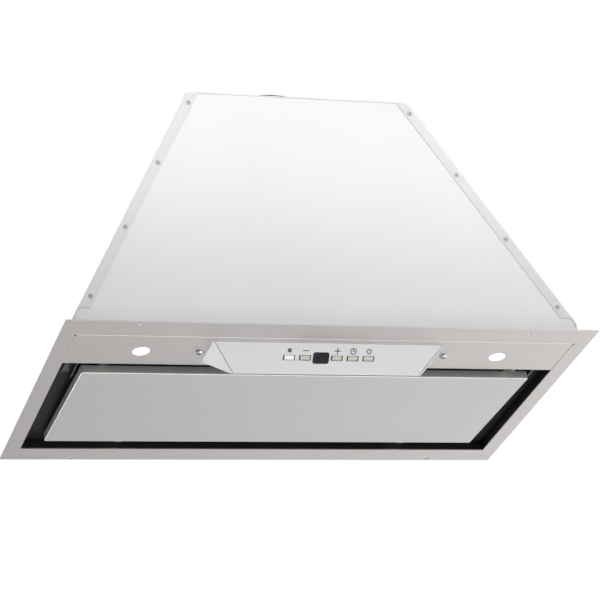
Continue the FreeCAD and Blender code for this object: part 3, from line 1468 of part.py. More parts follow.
def hinge_parts():
    brackets, pins = [], []
    for index, side in enumerate(("-", "")):
        x = f"{side}hinge_spacing / 2"
        inner = "(hinge_lug_width / 2 + hinge_side_gap)"
        foot_low = "surround_level - hinge_ear_gauge"
        pieces = [block(f"hinge_foot_{index}",
                        (f"{x} - hinge_foot_width / 2", f"{x} + hinge_foot_width / 2"),
                        ("hinge_y - hinge_foot_front", "hinge_y + hinge_foot_rear"),
                        (foot_low, "surround_level"))]
        for ear, way in enumerate((-1, 1)):
            low, high = sorted((f"{x} + {way} * {inner}", f"{x} + {way} * ({inner} + hinge_ear_gauge)"),
                               key=value)
            pieces.append(block(f"hinge_ear_{index}_{ear}", (low, high),
                                ("hinge_y - hinge_eye_radius", "hinge_y + hinge_eye_radius"),
                                ("hinge_z", foot_low)))
            pieces.append(rod(f"hinge_ear_round_{index}_{ear}", "hinge_eye_radius", low, high,
                              "hinge_y", "hinge_z"))
        reach = f"({inner} + hinge_ear_gauge + hinge_pin_overhang)"
        ends = (f"{x} - {reach}", f"{x} + {reach}")
        whole = join(f"hinge_bracket_whole_{index}", *pieces)
        bore = rod(f"hinge_bore_{index}", "hinge_pin_radius + pin_clearance",
                   f"{ends[0]} - cut_overrun", f"{ends[1]} + cut_overrun", "hinge_y", "hinge_z")
        brackets.append(cut(f"hinge_bracket_{index}", whole, bore))
        pins.append(rod(f"hinge_pin_{index}", "hinge_pin_radius", *ends, "hinge_y", "hinge_z"))
    node("hinge_brackets", group("hinge_brackets", brackets))
    node("hinge_pins", group("hinge_pins", pins))


def catches_and_guides():
    catches, guides = [], []
    for index, side in enumerate(("-", "")):
        x = f"{side}catch_x"
        clip = new_body(f"catch_clip_{index}")
        nose = "strip_rear + catch_gauge + catch_nose"
        top = "strip_fold"
        bottom = "strip_fold - catch_height"
        add(clip, "YZ", f"{x} - catch_width / 2", f"{x} + catch_width / 2",
            outline(("strip_rear", top), ("strip_rear", bottom), (nose, f"{bottom} + catch_gauge"),
                    (nose, f"{bottom} + catch_gauge * 2"),
                    ("strip_rear + catch_gauge", f"{bottom} + catch_nose_height + catch_gauge"),
                    ("strip_rear + catch_gauge", top)))
        catches.append(clip)
        guide = new_body(f"panel_guide_{index}")
        low, high = "guide_start", "guide_start + guide_length"
        add(guide, "XZ", low, high,
            outline((f"{side}guide_side", "surround_level - guide_drop"),
                    (f"{side}guide_side", "surround_level"),
                    (f"{side}(guide_side + guide_foot)", "surround_level"),
                    (f"{side}(guide_side + guide_foot)", "surround_level - guide_gauge"),
                    (f"{side}(guide_side + guide_gauge)", "surround_level - guide_gauge"),
                    (f"{side}(guide_side + guide_gauge)", "surround_level - guide_drop")))
        guides.append(guide)
    node("panel_catches", group("panel_catches", catches))
    node("panel_guides", group("panel_guides", guides))


def build():
    trim_frame()
    lamp_strip()
    lamp("left", "-")
    lamp("right", "")
    strip_fixings()
    control_parts()
    body_sheets()
    body_rivets()
    top_plate()
    outlet_collar()
    knuckle_reach = "collar_bore - flap_knuckle_length"
    outlet_flap("rear", 1, (f"-({knuckle_reach}) + flap_gap", f"{knuckle_reach} - flap_gap"))
    outlet_flap("front", -1, ("-flap_knuckle_length", "flap_knuckle_length"))
    scroll_half("left", -1)
    scroll_half("right", 1)
    outlet_adapter()
    fan_wheel()
    blower_drive()
    electrical_parts()
    intake_surround()
    grease_filter()
    perimeter_panel()
    hinge_parts()
    catches_and_guides()
    doc.recompute()


def check_and_export():
    for item in doc.Objects:
        if "Invalid" in item.State or "Error" in item.State:
            raise RuntimeError(f"{item.Name} did not build: {item.State}")
    os.makedirs("parts", exist_ok=True)
    for name, item in nodes.items():
        shape = item.Shape
        if shape.isNull() or not shape.isValid() or not shape.Solids:
            raise RuntimeError(f"{name} is not a valid solid")
        shape.exportStep(f"parts/{name}.step")
        print(name, len(shape.Solids), round(shape.Volume))
    print(len(nodes), "nodes")


build()
check_and_export()
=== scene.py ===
import json
import math

import bmesh
import bpy
from mathutils import Matrix, Quaternion, Vector


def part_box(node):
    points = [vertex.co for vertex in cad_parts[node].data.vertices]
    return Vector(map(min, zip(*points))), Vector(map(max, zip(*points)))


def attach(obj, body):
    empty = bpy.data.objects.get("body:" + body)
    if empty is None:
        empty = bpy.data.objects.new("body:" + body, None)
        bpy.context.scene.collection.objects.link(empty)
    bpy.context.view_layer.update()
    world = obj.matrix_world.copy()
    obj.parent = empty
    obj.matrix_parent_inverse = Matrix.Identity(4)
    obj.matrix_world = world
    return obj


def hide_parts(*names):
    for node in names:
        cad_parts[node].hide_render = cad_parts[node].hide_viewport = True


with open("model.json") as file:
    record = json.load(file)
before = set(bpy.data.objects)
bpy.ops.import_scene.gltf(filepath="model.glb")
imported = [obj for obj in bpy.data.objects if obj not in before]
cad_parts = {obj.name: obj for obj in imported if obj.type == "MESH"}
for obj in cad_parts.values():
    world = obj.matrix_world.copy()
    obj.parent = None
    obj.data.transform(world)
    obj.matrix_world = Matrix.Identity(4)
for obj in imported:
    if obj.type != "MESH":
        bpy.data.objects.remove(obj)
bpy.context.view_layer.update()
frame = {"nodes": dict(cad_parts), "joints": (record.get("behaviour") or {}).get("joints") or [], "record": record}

cad = frame["nodes"]
MM = 0.001

# Nodes with another finish than the rest of their material slot; the guides' and tongues' near-black zinc is
# painted shade, and so is the side panels' darker paint
OWN_FINISH = {"panel_guides": "painted_shade_zinc", "panel_tongues": "painted_shade_zinc",
              "side_panel_left": "side_paint_painted_shade", "side_panel_right": "side_paint_painted_shade",
              "lamp_lens_left": "lens_left", "lamp_lens_right": "lens_right"}

# Camera, in millimetres and degrees: it looks up at the hood from the front left
CAMERA_PLACE = (-792.9, -2053.1, -1014.4)
CAMERA_AIM = (-57.0, -197.1, -1.0)
CAMERA_ROLL = 8.81
CAMERA_LENS = 149.22
CAMERA_SENSOR = 36.0
CAMERA_REACH = 50000

# Mesh making: degrees, steps in a full turn, and a span that is small in metres and in millimetres
SHARP_ANGLE = 35
DOME_STEP = 15
ROUND_STEPS = 32
RIVET_STEPS = 24
WELD_STEPS = 20
HUB_STEPS = 16
MANDREL_STEPS = 12
MERGE_SPAN = 0.00001

# Sheets and seats, in millimetres
FLANGE_GAUGE = 1.0
COLLAR_FLANGE_GAUGE = 2.0
FOOT_GAUGE = 0.8
FOOT_MIDDLE = 7.0

# Screws, in millimetres; crosses turned in degrees on the strip, in radians on the collar
STRIP_SHANK_RADIUS = 2.0
STRIP_SCREW_TURN = 25
COLLAR_SHANK_RADIUS = 1.9
COLLAR_SCREW_TURN = 0.7
THREAD_PITCH = 0.7
THREAD_DEPTH = 0.3
SCREW_POINT_SHARE = 0.5
PAN_EDGE_SHARE = 0.3
PAN_ROUNDNESS = 0.7
RECESS_WIDTH = 0.9
RECESS_REACH_SHARE = 0.52
RECESS_START_SHARE = 1.05
RECESS_TAPER = 0.55

# Blind rivets, in millimetres; radii are shares of the head's or the hole's, heights of the head's
RIVET_HEAD_HEIGHT = 0.9
RIVET_TAIL_HEIGHT = 1.2
RIVET_SHANK_RADIUS = 1.6
RIVET_TAIL_SHARE = 0.8
RIVET_RIM_SHARE = 0.75
RIVET_HOLE_SHARE = 0.38
RIVET_EDGE_SHARE = 0.3
RIVET_SHOULDER_SHARE = 0.85
RIVET_LIP_SHARE = 0.95
RIVET_WELL_SHARE = 0.25
RIVET_WELL_TAPER = 0.9
MANDREL_SHARE = 0.7
MANDREL_TIP_SHARE = 0.4
MANDREL_SHOULDER_SHARE = 0.5
MANDREL_TOP_SHARE = 0.62

# Printed symbols, in millimetres and degrees; the fan's blade is drawn from the symbol's middle
ICON_STROKE = 0.75
ICON_HEIGHT = 0.12
ICON_LINE = 7.2
FAN_BLADE = ((0.4, 0.1), (1.0, 0.8), (1.15, 1.7), (0.6, 2.5), (-0.6, 2.4), (-0.35, 1.6), (-0.35, 0.8))
FAN_BLADES = 4
FAN_TURN = 37
FAN_HUB_RADIUS = 0.7
MINUS_REACH = 2.8
PLUS_REACH = 3.0
CLOCK_RADIUS = 2.8
CLOCK_LONG_HAND = 1.7
CLOCK_SHORT_HAND = 1.2
LIGHT_RADIUS = 2.0
RAY_COUNT = 8
RAY_START = 2.5
RAY_END = 2.9
RAY_STROKE = 0.375

# Painted shade round the keys: dark strips on the key caps where their recesses lie in shade, in millimetres
PAINTED_KEY_SHADE_LEFT = 1.4
PAINTED_KEY_SHADE_TOP = 0.4
PAINTED_KEY_SHADE_HEIGHT = 0.08
PAINTED_KEY_SHADE_REACH = 0.3

# Expanded metal of the grease filter, in millimetres
MESH_PITCH_X = 8.0
MESH_PITCH_Y = 4.0
MESH_STRAND = 0.7
MESH_RISE = 1.0
MESH_WAVE = 9.0
MESH_WAVE_HEIGHT = 0.7

# Spot welds, in millimetres, and the shares of the frame that their rows take or leave
WELD_RADIUS = 2.4
WELD_SINK = 0.05
WELD_EDGE = 0.02
WELD_RING = 0.1
WELD_DISH = 0.03
WELD_RING_SHARE = 0.8
WELD_DISH_SHARE = 0.6
WELDS_ALONG = 8
WELDS_ACROSS = 4
WELD_LENGTH_SHARE = 0.86
SIDE_WELD_SHARE = 0.12

# Patterns, in repeats per metre along X, Y and Z
BRUSH_LINES = (10, 2600, 2600)
BRUSH_BANDS = (1.5, 140, 140)
STEEL_SMUDGES = (7, 7, 7)
PAINT_CLOUDS = (6, 6, 6)
ZINC_CRYSTALS = (420, 420, 420)
ZINC_CLOUDS = (60, 60, 60)
PLASTIC_CLOUDS = (25, 25, 25)
LENS_FACETS = (900, 900, 900)
WINDOW_HAZE = (180, 180, 180)
BOARD_TRACKS = (260, 260, 260)

# Depths of embossed patterns, in metres
BRUSH_DEPTH = 0.00001
CRYSTAL_DEPTH = 0.00004
SPARK_DEPTH = 0.00003
FACET_DEPTH = 0.0001
TRACK_DEPTH = 0.00003

# Colours of the window and the board, and of the light that keys, lenses and the ground give
WINDOW_COLOUR = (0.012, 0.012, 0.015)
BOARD_COLOUR = (0.03, 0.16, 0.08)
KEY_LIGHT = (1, 0.99, 0.96, 1)
LENS_LIGHT = (1.0, 0.985, 0.95, 1)
LENS_EDGE_LIGHT = (1.0, 0.96, 0.9, 1)
WHITE = (1, 1, 1, 1)

# Glow of the lamps' lenses, and the shares of the radius between which it fades
LENS_GLOW = 3.2
LENS_RIM_GLOW = 0.5
LENS_HOT_SHARE = 0.72
LENS_RIM_SHARE = 0.95

# Floor, in metres
FLOOR_LEVEL = -3.4
FLOOR_RADIUS = 4.5
FLOOR_FADE = 0.4
FLOOR_SIDES = 96
FLOOR_COLOUR = (0.86, 0.86, 0.86)

# World: its plain light, and what the steel mirrors between two directions from left to right
WORLD_LIGHT = 0.6
MIRROR_SPAN = (0.12, 0.52)
MIRROR_LIGHT = (0.24, 1.46)

# Soft lamps: place, aim and size in metres, power in watts, spread in degrees
LAMPS = {
    "key": {"place": (-2.2, -3.2, 2.2), "aim": (0, 0, 0.1), "size": (2.6, 2.6), "power": 34},
    "top_front": {"place": (-0.2, -1.1, 0.65), "aim": (-0.05, -0.13, 0.24), "size": (0.9, 0.2),
                  "power": 0.4, "spread": 24},
    "fill": {"place": (3.0, -2.4, 0.6), "aim": (0, 0, 0.1), "size": (2.2, 2.2), "power": 18},
    "under": {"place": (0.8, -0.2, -2.9), "aim": (0, 0, 0), "size": (1.4, 1.4), "power": 34},
    "front_low": {"place": (1.4, -2.0, -2.0), "aim": (0, 0, 0), "size": (1.2, 1.2), "power": 14},
    "left": {"place": (-2.2, 2.9, -0.5), "aim": (0, -0.1, 0), "size": (1.2, 1.2), "power": 42},
    "back": {"place": (0.5, 3.2, 2.4), "aim": (0, 0, 0.15), "size": (2.4, 2.4), "power": 16},
}


def place_camera():
    """The camera that took the photograph, as solved from it."""
    camera = bpy.data.objects.new("camera", bpy.data.cameras.new("camera"))
    bpy.context.collection.objects.link(camera)
    place = Vector(CAMERA_PLACE) * MM
    look = Vector(CAMERA_AIM) * MM - place
    roll = Quaternion((0, 0, 1), -math.radians(CAMERA_ROLL))
    camera.location = place
    camera.rotation_mode = "QUATERNION"
    camera.rotation_quaternion = look.to_track_quat("-Z", "Y") @ roll
    camera.data.lens = CAMERA_LENS
    camera.data.sensor_width = CAMERA_SENSOR
    camera.data.clip_end = CAMERA_REACH * MM
    bpy.context.scene.camera = camera


def soft_lamp(name, place, aim, size, power, spread=180):
    """A rectangular lamp that the camera doesn't see."""
    light = bpy.data.lights.new(name, "AREA")
    light.shape = "RECTANGLE"
    light.size, light.size_y = size
    light.energy = power
    light.spread = math.radians(spread)
    lamp = bpy.data.objects.new(name, light)
    bpy.context.collection.objects.link(lamp)
    lamp.visible_camera = False
    lamp.location = place
    lamp.rotation_mode = "QUATERNION"
    lamp.rotation_quaternion = (Vector(aim) - Vector(place)).to_track_quat("-Z", "Y")


# Shader nodes

def wire(tree, source, socket):
    """Link a socket, or set a plain value."""
    if isinstance(source, bpy.types.NodeSocket):
        tree.links.new(source, socket)
    else:
        socket.default_value = source


def shader_node(tree, kind, inputs=None, **settings):
    """A new node with its inputs wired and its settings made."""
    made = tree.nodes.new(kind)
    for name, setting in settings.items():
        setattr(made, name, setting)
    for name, source in (inputs or {}).items():
        wire(tree, source, made.inputs[name])
    return made


def finish(name, colour, roughness, metallic=0.0, **sockets):
    """A material with one surface shader; more sockets are named with _ for a space."""
    material = bpy.data.materials.new(name)
    material.use_nodes = True
    shader = material.node_tree.nodes["Principled BSDF"]
    shader.inputs["Base Color"].default_value = (*colour, 1)
    shader.inputs["Roughness"].default_value = roughness
    shader.inputs["Metallic"].default_value = metallic
    for socket, setting in sockets.items():
        shader.inputs[socket.replace("_", " ")].default_value = setting
    return material


def surface(material):
    """The material's surface shader."""
    return material.node_tree.nodes["Principled BSDF"]


def pattern(material, kind, repeats, output, **settings):
    """A texture on Object coordinates, with its repeats per metre along each axis."""
    tree = material.node_tree
    place = shader_node(tree, "ShaderNodeTexCoord").outputs["Object"]
    mapped = shader_node(tree, "ShaderNodeMapping", {"Vector": place, "Scale": repeats})
    inputs = {"Vector": mapped.outputs["Vector"], "Scale": 1.0}
    inputs.update({name.replace("_", " "): setting for name, setting in settings.items()})
    return shader_node(tree, kind, inputs).outputs[output]


def remap(material, source, low, high, start=0.3, stop=0.7):
    """Spread a texture's middle range over low to high."""
    inputs = {"Value": source, "From Min": start, "From Max": stop, "To Min": low, "To Max": high}
    return shader_node(material.node_tree, "ShaderNodeMapRange", inputs).outputs["Result"]


def shade(material, colour, factor):
    """Feed the base colour with a plain colour times a factor."""
    scaled = shader_node(material.node_tree, "ShaderNodeVectorMath",
                         {0: colour, "Scale": factor}, operation="SCALE")
    wire(material.node_tree, scaled.outputs["Vector"], surface(material).inputs["Base Color"])


def roughen(material, roughness):
    """Feed the roughness."""
    wire(material.node_tree, roughness, surface(material).inputs["Roughness"])


def emboss(material, height, strength, distance):
    """Raise and lower the surface's light, not its mesh, by a pattern."""
    bump = shader_node(material.node_tree, "ShaderNodeBump",
                       {"Height": height, "Strength": strength, "Distance": distance})
    wire(material.node_tree, bump.outputs["Normal"], surface(material).inputs["Normal"])


# Finishes

def brushed_steel(name, colour, metallic, roughness=0.42):
    """Stainless sheet with fine brushing from side to side."""
    steel = finish(name, colour, roughness, metallic, Anisotropic=0.4)
    fine = pattern(steel, "ShaderNodeTexNoise", BRUSH_LINES, "Fac", Detail=3.0)
    broad = pattern(steel, "ShaderNodeTexNoise", BRUSH_BANDS, "Fac", Detail=2.0)
    smudge = pattern(steel, "ShaderNodeTexNoise", STEEL_SMUDGES, "Fac", Detail=3.0)
    lines = shader_node(steel.node_tree, "ShaderNodeMath", {0: fine, 1: broad}, operation="ADD")
    shade(steel, colour, remap(steel, lines.outputs["Value"], low=0.985, high=1.015, start=0.7, stop=1.3))
    rough = shader_node(steel.node_tree, "ShaderNodeMath",
                        {0: remap(steel, fine, low=-0.03, high=0.03),
                         1: remap(steel, smudge, low=roughness - 0.02, high=roughness + 0.02)},
                        operation="ADD")
    roughen(steel, rough.outputs["Value"])
    emboss(steel, fine, strength=0.06, distance=BRUSH_DEPTH)
    across = shader_node(steel.node_tree, "ShaderNodeCombineXYZ", {"X": 1.0})
    wire(steel.node_tree, across.outputs["Vector"], surface(steel).inputs["Tangent"])
    return steel


def satin(name, colour, roughness, metallic, grain, depth, **sockets):
    """Powder coat, paint or plain metal with a faint orange peel and a slight cloudiness.

    The grain is in repeats per metre, and its depth in metres.
    """
    coat = finish(name, colour, roughness, metallic, **sockets)
    peel = pattern(coat, "ShaderNodeTexNoise", (grain, grain, grain), "Fac", Detail=2.0)
    cloud = pattern(coat, "ShaderNodeTexNoise", PAINT_CLOUDS, "Fac", Detail=3.0)
    shade(coat, colour, remap(coat, cloud, low=0.985, high=1.015))
    roughen(coat, remap(coat, cloud, low=roughness - 0.03, high=roughness + 0.03))
    emboss(coat, peel, strength=0.2, distance=depth)
    return coat


def zinc_plate(name, colour, roughness):
    """Zinc plating with small crystals of slightly different shades."""
    zinc = finish(name, colour, roughness, metallic=1.0)
    crystal = pattern(zinc, "ShaderNodeTexVoronoi", ZINC_CRYSTALS, "Distance")
    cloud = pattern(zinc, "ShaderNodeTexNoise", ZINC_CLOUDS, "Fac", Detail=4.0)
    shade(zinc, colour, remap(zinc, cloud, low=0.82, high=1.12))
    roughen(zinc, remap(zinc, crystal, low=roughness - 0.08, high=roughness + 0.1, start=0.0, stop=1.0))
    emboss(zinc, crystal, strength=0.15, distance=CRYSTAL_DEPTH)
    return zinc


def moulded_plastic(name, colour, roughness, grain=1600, **sockets):
    """Moulded plastic with a fine spark-eroded grain, in repeats per metre."""
    plastic = finish(name, colour, roughness, **sockets)
    spark = pattern(plastic, "ShaderNodeTexNoise", (grain, grain, grain), "Fac", Detail=2.0)
    cloud = pattern(plastic, "ShaderNodeTexNoise", PLASTIC_CLOUDS, "Fac", Detail=2.0)
    shade(plastic, colour, remap(plastic, cloud, low=0.92, high=1.08))
    roughen(plastic, remap(plastic, spark, low=roughness - 0.06, high=roughness + 0.06))
    emboss(plastic, spark, strength=0.3, distance=SPARK_DEPTH)
    return plastic


def key_plastic(name, colour, glow):
    """Translucent key cap, which glows where its own small lamp is on."""
    key = moulded_plastic(name, colour, roughness=0.3, Subsurface_Weight=0.3,
                          Subsurface_Scale=0.002)
    surface(key).inputs["Emission Color"].default_value = KEY_LIGHT
    surface(key).inputs["Emission Strength"].default_value = glow
    return key


def lit_lens(name, node):
    """Frosted lamp glass, brightest in its middle and dimmer at its rim."""
    glass = finish(name, (0.95, 0.94, 0.9), roughness=0.25)
    tree = glass.node_tree
    low, high = (Vector(corner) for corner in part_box(node))
    middle = Vector(((low.x + high.x) / 2, (low.y + high.y) / 2, low.z))
    radius = (high.x - low.x) / 2
    place = shader_node(tree, "ShaderNodeTexCoord").outputs["Object"]
    away = shader_node(tree, "ShaderNodeVectorMath", {0: place, 1: middle}, operation="DISTANCE")
    glow = shader_node(tree, "ShaderNodeMapRange",
                       {"Value": away.outputs["Value"], "From Min": radius * LENS_HOT_SHARE,
                        "From Max": radius * LENS_RIM_SHARE, "To Min": LENS_GLOW,
                        "To Max": LENS_RIM_GLOW}, interpolation_type="SMOOTHSTEP")
    wire(tree, glow.outputs["Result"], surface(glass).inputs["Emission Strength"])
    facets = pattern(glass, "ShaderNodeTexVoronoi", LENS_FACETS, "Distance")
    warmth = shader_node(tree, "ShaderNodeMixRGB",
                         {"Fac": facets, "Color1": LENS_LIGHT, "Color2": LENS_EDGE_LIGHT})
    wire(tree, warmth.outputs["Color"], surface(glass).inputs["Emission Color"])
    emboss(glass, facets, strength=0.3, distance=FACET_DEPTH)
    return glass


def smoked_window():
    """Dark polycarbonate, faintly clouded."""
    window = finish("window_black", WINDOW_COLOUR, roughness=0.16, Specular_IOR_Level=0.25)
    haze = pattern(window, "ShaderNodeTexNoise", WINDOW_HAZE, "Fac", Detail=2.0)
    shade(window, WINDOW_COLOUR, remap(window, haze, low=0.7, high=1.6))
    roughen(window, remap(window, haze, low=0.12, high=0.2))
    return window


def circuit_board():
    """Green solder mask with copper tracks showing through."""
    board = finish("board_mask", BOARD_COLOUR, roughness=0.35)
    tracks = pattern(board, "ShaderNodeTexBrick", BOARD_TRACKS, "Fac", Mortar_Size=0.08)
    shade(board, BOARD_COLOUR, remap(board, tracks, low=1.0, high=1.7, start=0.0, stop=1.0))
    emboss(board, tracks, strength=0.3, distance=TRACK_DEPTH)
    return board


def make_finishes():
    """Every finish, by the slot or the piece's finish that asks for it.

    Satin finishes give colour, roughness, metallic, grain and depth; the rest give colour first.
    """
    return {
        "trim_steel": brushed_steel("trim_steel", (0.59, 0.565, 0.555), metallic=0.9),
        "panel_steel": brushed_steel("panel_steel", (0.54, 0.535, 0.53), metallic=0.65),
        "control_silver": satin("control_silver", (0.50, 0.502, 0.51), 0.42, 0.4, 1500, 0.00002),
        "body_paint": satin("body_paint", (0.69, 0.695, 0.708), 0.42, 0.0, 700, 0.00005),
        # A darker copy of the body paint, as painted shade on the side panels and their laps
        "side_paint_painted_shade": satin("side_paint_painted_shade", (0.61, 0.613, 0.622), 0.45, 0.0, 700, 0.00005),
        "lens_left": lit_lens("lens_left", "lamp_lens_left"),
        "lens_right": lit_lens("lens_right", "lamp_lens_right"),
        "lamp_metal": satin("lamp_metal", (0.6, 0.6, 0.6), 0.35, 1.0, 300, 0.00003),
        "screw_chrome": satin("screw_chrome", (0.50, 0.54, 0.56), 0.18, 1.0, 900, 0.00001),
        "zinc": zinc_plate("zinc_plate", (0.56, 0.57, 0.58), roughness=0.34),
        # Near-black zinc as painted shade: the panel's guides and tongues lie in the shaded gap beside the panel
        "painted_shade_zinc": zinc_plate("painted_shade_zinc", (0.10, 0.10, 0.105), roughness=0.3),
        "yellow_zinc": zinc_plate("yellow_zinc", (0.62, 0.46, 0.18), roughness=0.3),
        "window_black": smoked_window(),
        "key_pale": key_plastic("key_pale", (0.58, 0.53, 0.48), glow=0.0),
        "key_lit": key_plastic("key_lit", (0.82, 0.80, 0.76), glow=0.05),
        "black_plastic": moulded_plastic("black_plastic", (0.022, 0.022, 0.024), roughness=0.5),
        "black_sheet": satin("black_sheet", (0.008, 0.0075, 0.008), 0.55, 0.0, 900, 0.00003,
                             Specular_IOR_Level=0.25),
        "board_green": circuit_board(),
        "filter_aluminium": satin("filter_aluminium", (0.6, 0.61, 0.62), 0.36, 1.0, 500, 0.00004),
        "wheel_plastic": moulded_plastic("wheel_plastic", (0.05, 0.05, 0.054), roughness=0.45),
        "capacitor_white": moulded_plastic("capacitor_white", (0.72, 0.72, 0.7), roughness=0.4),
        "collar_black": moulded_plastic("collar_black", (0.02, 0.02, 0.021), roughness=0.42, grain=1100),
        "rivet_zinc": satin("rivet_zinc", (0.42, 0.42, 0.43), 0.55, 0.2, 900, 0.00002),
        "mandrel_steel": zinc_plate("mandrel_steel", (0.24, 0.24, 0.24), roughness=0.5),
        # Black ink for the printed symbols; it also colours the painted shade round the keys
        "ink_and_painted_shade": satin("ink_and_painted_shade", (0.03, 0.03, 0.033), 0.7, 0.0, 2000, 0.00001),
    }


def dress_nodes():
    """Give every node the finish of its material slot, or its own."""
    for row in frame["record"]["subparts"]:
        mesh = cad[row["node"]].data
        mesh.materials.clear()
        mesh.materials.append(finishes[OWN_FINISH.get(row["node"], row["material_slot"])])


# Mesh helpers. Pieces are drawn in millimetres and shrunk to metres when they are finished.

def piece(name, bm, slot, material=None, body="hood", replaced=None):
    """Turn a bmesh into an object that rides on a body."""
    bmesh.ops.scale(bm, vec=(MM, MM, MM), verts=bm.verts)
    mesh = bpy.data.meshes.new(name)
    bm.to_mesh(mesh)
    bm.free()
    mesh.materials.append(finishes[material or slot])
    mesh.polygons.foreach_set("use_smooth", [True] * len(mesh.polygons))
    mesh.set_sharp_from_angle(angle=math.radians(SHARP_ANGLE))
    made = bpy.data.objects.new(name, mesh)
    bpy.context.collection.objects.link(made)
    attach(made, body)
    if replaced:
        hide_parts(replaced)


def solids_of(node):
    """The lowest and highest corner, in millimetres, of each separate solid of a node."""
    bm = bmesh.new()
    bm.from_mesh(cad[node].data)
    bmesh.ops.remove_doubles(bm, verts=bm.verts, dist=MERGE_SPAN)
    waiting = set(bm.verts)
    boxes = []
    while waiting:
        reached = [waiting.pop()]
        for vert in reached:
            for edge in vert.link_edges:
                other = edge.other_vert(vert)
                if other in waiting:
                    waiting.remove(other)
                    reached.append(other)
        spots = [vert.co / MM for vert in reached]
        boxes.append(tuple(Vector(pick(spot[axis] for spot in spots) for axis in range(3))
                           for pick in (min, max)))
    bm.free()
    return sorted(boxes, key=lambda box: tuple(box[0]))


def lathe(profile, steps=ROUND_STEPS, closed=False):
    """Spin a profile of (radius, height) points round Z."""
    bm = bmesh.new()
    verts = [bm.verts.new((radius, 0, height)) for radius, height in profile]
    pairs = list(zip(verts, verts[1:]))
    if closed:
        pairs.append((verts[-1], verts[0]))
    edges = [bm.edges.new(pair) for pair in pairs]
    bmesh.ops.spin(bm, geom=verts + edges, cent=(0, 0, 0), axis=(0, 0, 1), dvec=(0, 0, 0),
                   angle=2 * math.pi, steps=steps, use_merge=True)
    bmesh.ops.remove_doubles(bm, verts=bm.verts, dist=MERGE_SPAN)
    bmesh.ops.recalc_face_normals(bm, faces=bm.faces)
    return bm


def prism(points, depth, taper=1.0):
    """Extrude a flat outline along Z, its far end shrunk by the taper."""
    bm = bmesh.new()
    face = bm.faces.new([bm.verts.new((x, y, 0)) for x, y in points])
    far = bmesh.ops.extrude_face_region(bm, geom=[face])["geom"]
    verts = [item for item in far if isinstance(item, bmesh.types.BMVert)]
    bmesh.ops.translate(bm, vec=(0, 0, depth), verts=verts)
    bmesh.ops.scale(bm, vec=(taper, taper, 1), verts=verts)
    bmesh.ops.recalc_face_normals(bm, faces=bm.faces)
    return bm


def moved(bm, matrix):
    """The same bmesh, put elsewhere."""
    bmesh.ops.transform(bm, matrix=matrix, verts=bm.verts)
    return bm


def gather(parts):
    """One bmesh that holds all the parts."""
    whole = bmesh.new()
    for bm in parts:
        mesh = bpy.data.meshes.new("part")
        bm.to_mesh(mesh)
        bm.free()
        whole.from_mesh(mesh)
        bpy.data.meshes.remove(mesh)
    return whole


def copies(template, matrices):
    """One bmesh with a copy of the template at every matrix."""
    parts = [moved(template.copy(), matrix) for matrix in matrices]
    template.free()
    return gather(parts)


def carved(bm, cutter):
    """The first bmesh less the second."""
    objects = []
    for shape in (bm, cutter):
        mesh = bpy.data.meshes.new("carving")
        shape.to_mesh(mesh)
        shape.free()
        objects.append(bpy.data.objects.new("carving", mesh))
        bpy.context.collection.objects.link(objects[-1])
    rule = objects[0].modifiers.new("cut", "BOOLEAN")
    rule.object = objects[1]
    rule.operation = "DIFFERENCE"
    rule.solver = "EXACT"
    seen = objects[0].evaluated_get(bpy.context.evaluated_depsgraph_get())
    result = bmesh.new()
    result.from_mesh(seen.to_mesh())
    seen.to_mesh_clear()
    for item in objects:
        mesh = item.data
        bpy.data.objects.remove(item)
        bpy.data.meshes.remove(mesh)
    return result


# Screws and rivets

def pan_head_screw(head_radius, head_height, shank_radius, shank_length):
    """A pan-head screw along Z, its head's bearing face at 0 and its shank below."""
    edge = head_height * PAN_EDGE_SHARE
    dome = [(head_radius * math.cos(math.radians(rise)) ** PAN_ROUNDNESS,
             edge + (head_height - edge) * math.sin(math.radians(rise)))
            for rise in range(0, 90, DOME_STEP)]
    tip = -shank_length
    profile = [(0, tip), (shank_radius * SCREW_POINT_SHARE, tip), (shank_radius, tip + shank_radius)]
    threads = int((shank_length - shank_radius) / THREAD_PITCH)
    for thread in range(threads):
        low = tip + shank_radius + thread * THREAD_PITCH
        profile += [(shank_radius - THREAD_DEPTH, low + THREAD_PITCH / 2),
                    (shank_radius, low + THREAD_PITCH)]
    profile += [(shank_radius, 0), (head_radius, 0), *dome, (0, head_height)]
    bm = lathe(profile)
    arm, half = head_radius * RECESS_REACH_SHARE, RECESS_WIDTH / 2
    cross = []
    for quarter in range(4):
        turn = Matrix.Rotation(quarter * math.pi / 2, 2)
        cross += [tuple(turn @ Vector(point)) for point in ((half, half), (half, arm), (-half, arm))]
    cutter = prism(cross, -head_height, RECESS_TAPER)
    moved(cutter, Matrix.Translation((0, 0, head_height * RECESS_START_SHARE)))
    return carved(bm, cutter)


def strip_screws():
    """Two chrome screws that point up through the lamp strip."""
    boxes = solids_of("strip_screws")
    low, high = boxes[0]
    template = pan_head_screw((high.x - low.x) / 2, -FLANGE_GAUGE - low.z, STRIP_SHANK_RADIUS,
                              high.z + FLANGE_GAUGE)
    spots = []
    for low, high in boxes:
        middle = (low + high) / 2
        turn = math.radians(STRIP_SCREW_TURN if middle.x < 0 else -STRIP_SCREW_TURN)
        seat = Matrix.Translation((middle.x, middle.y, -FLANGE_GAUGE))
        spots.append(seat @ Matrix.Rotation(math.pi, 4, "X") @ Matrix.Rotation(turn, 4, "Z"))
    piece("strip_screw_pair", copies(template, spots), "screw_chrome", replaced="strip_screws")


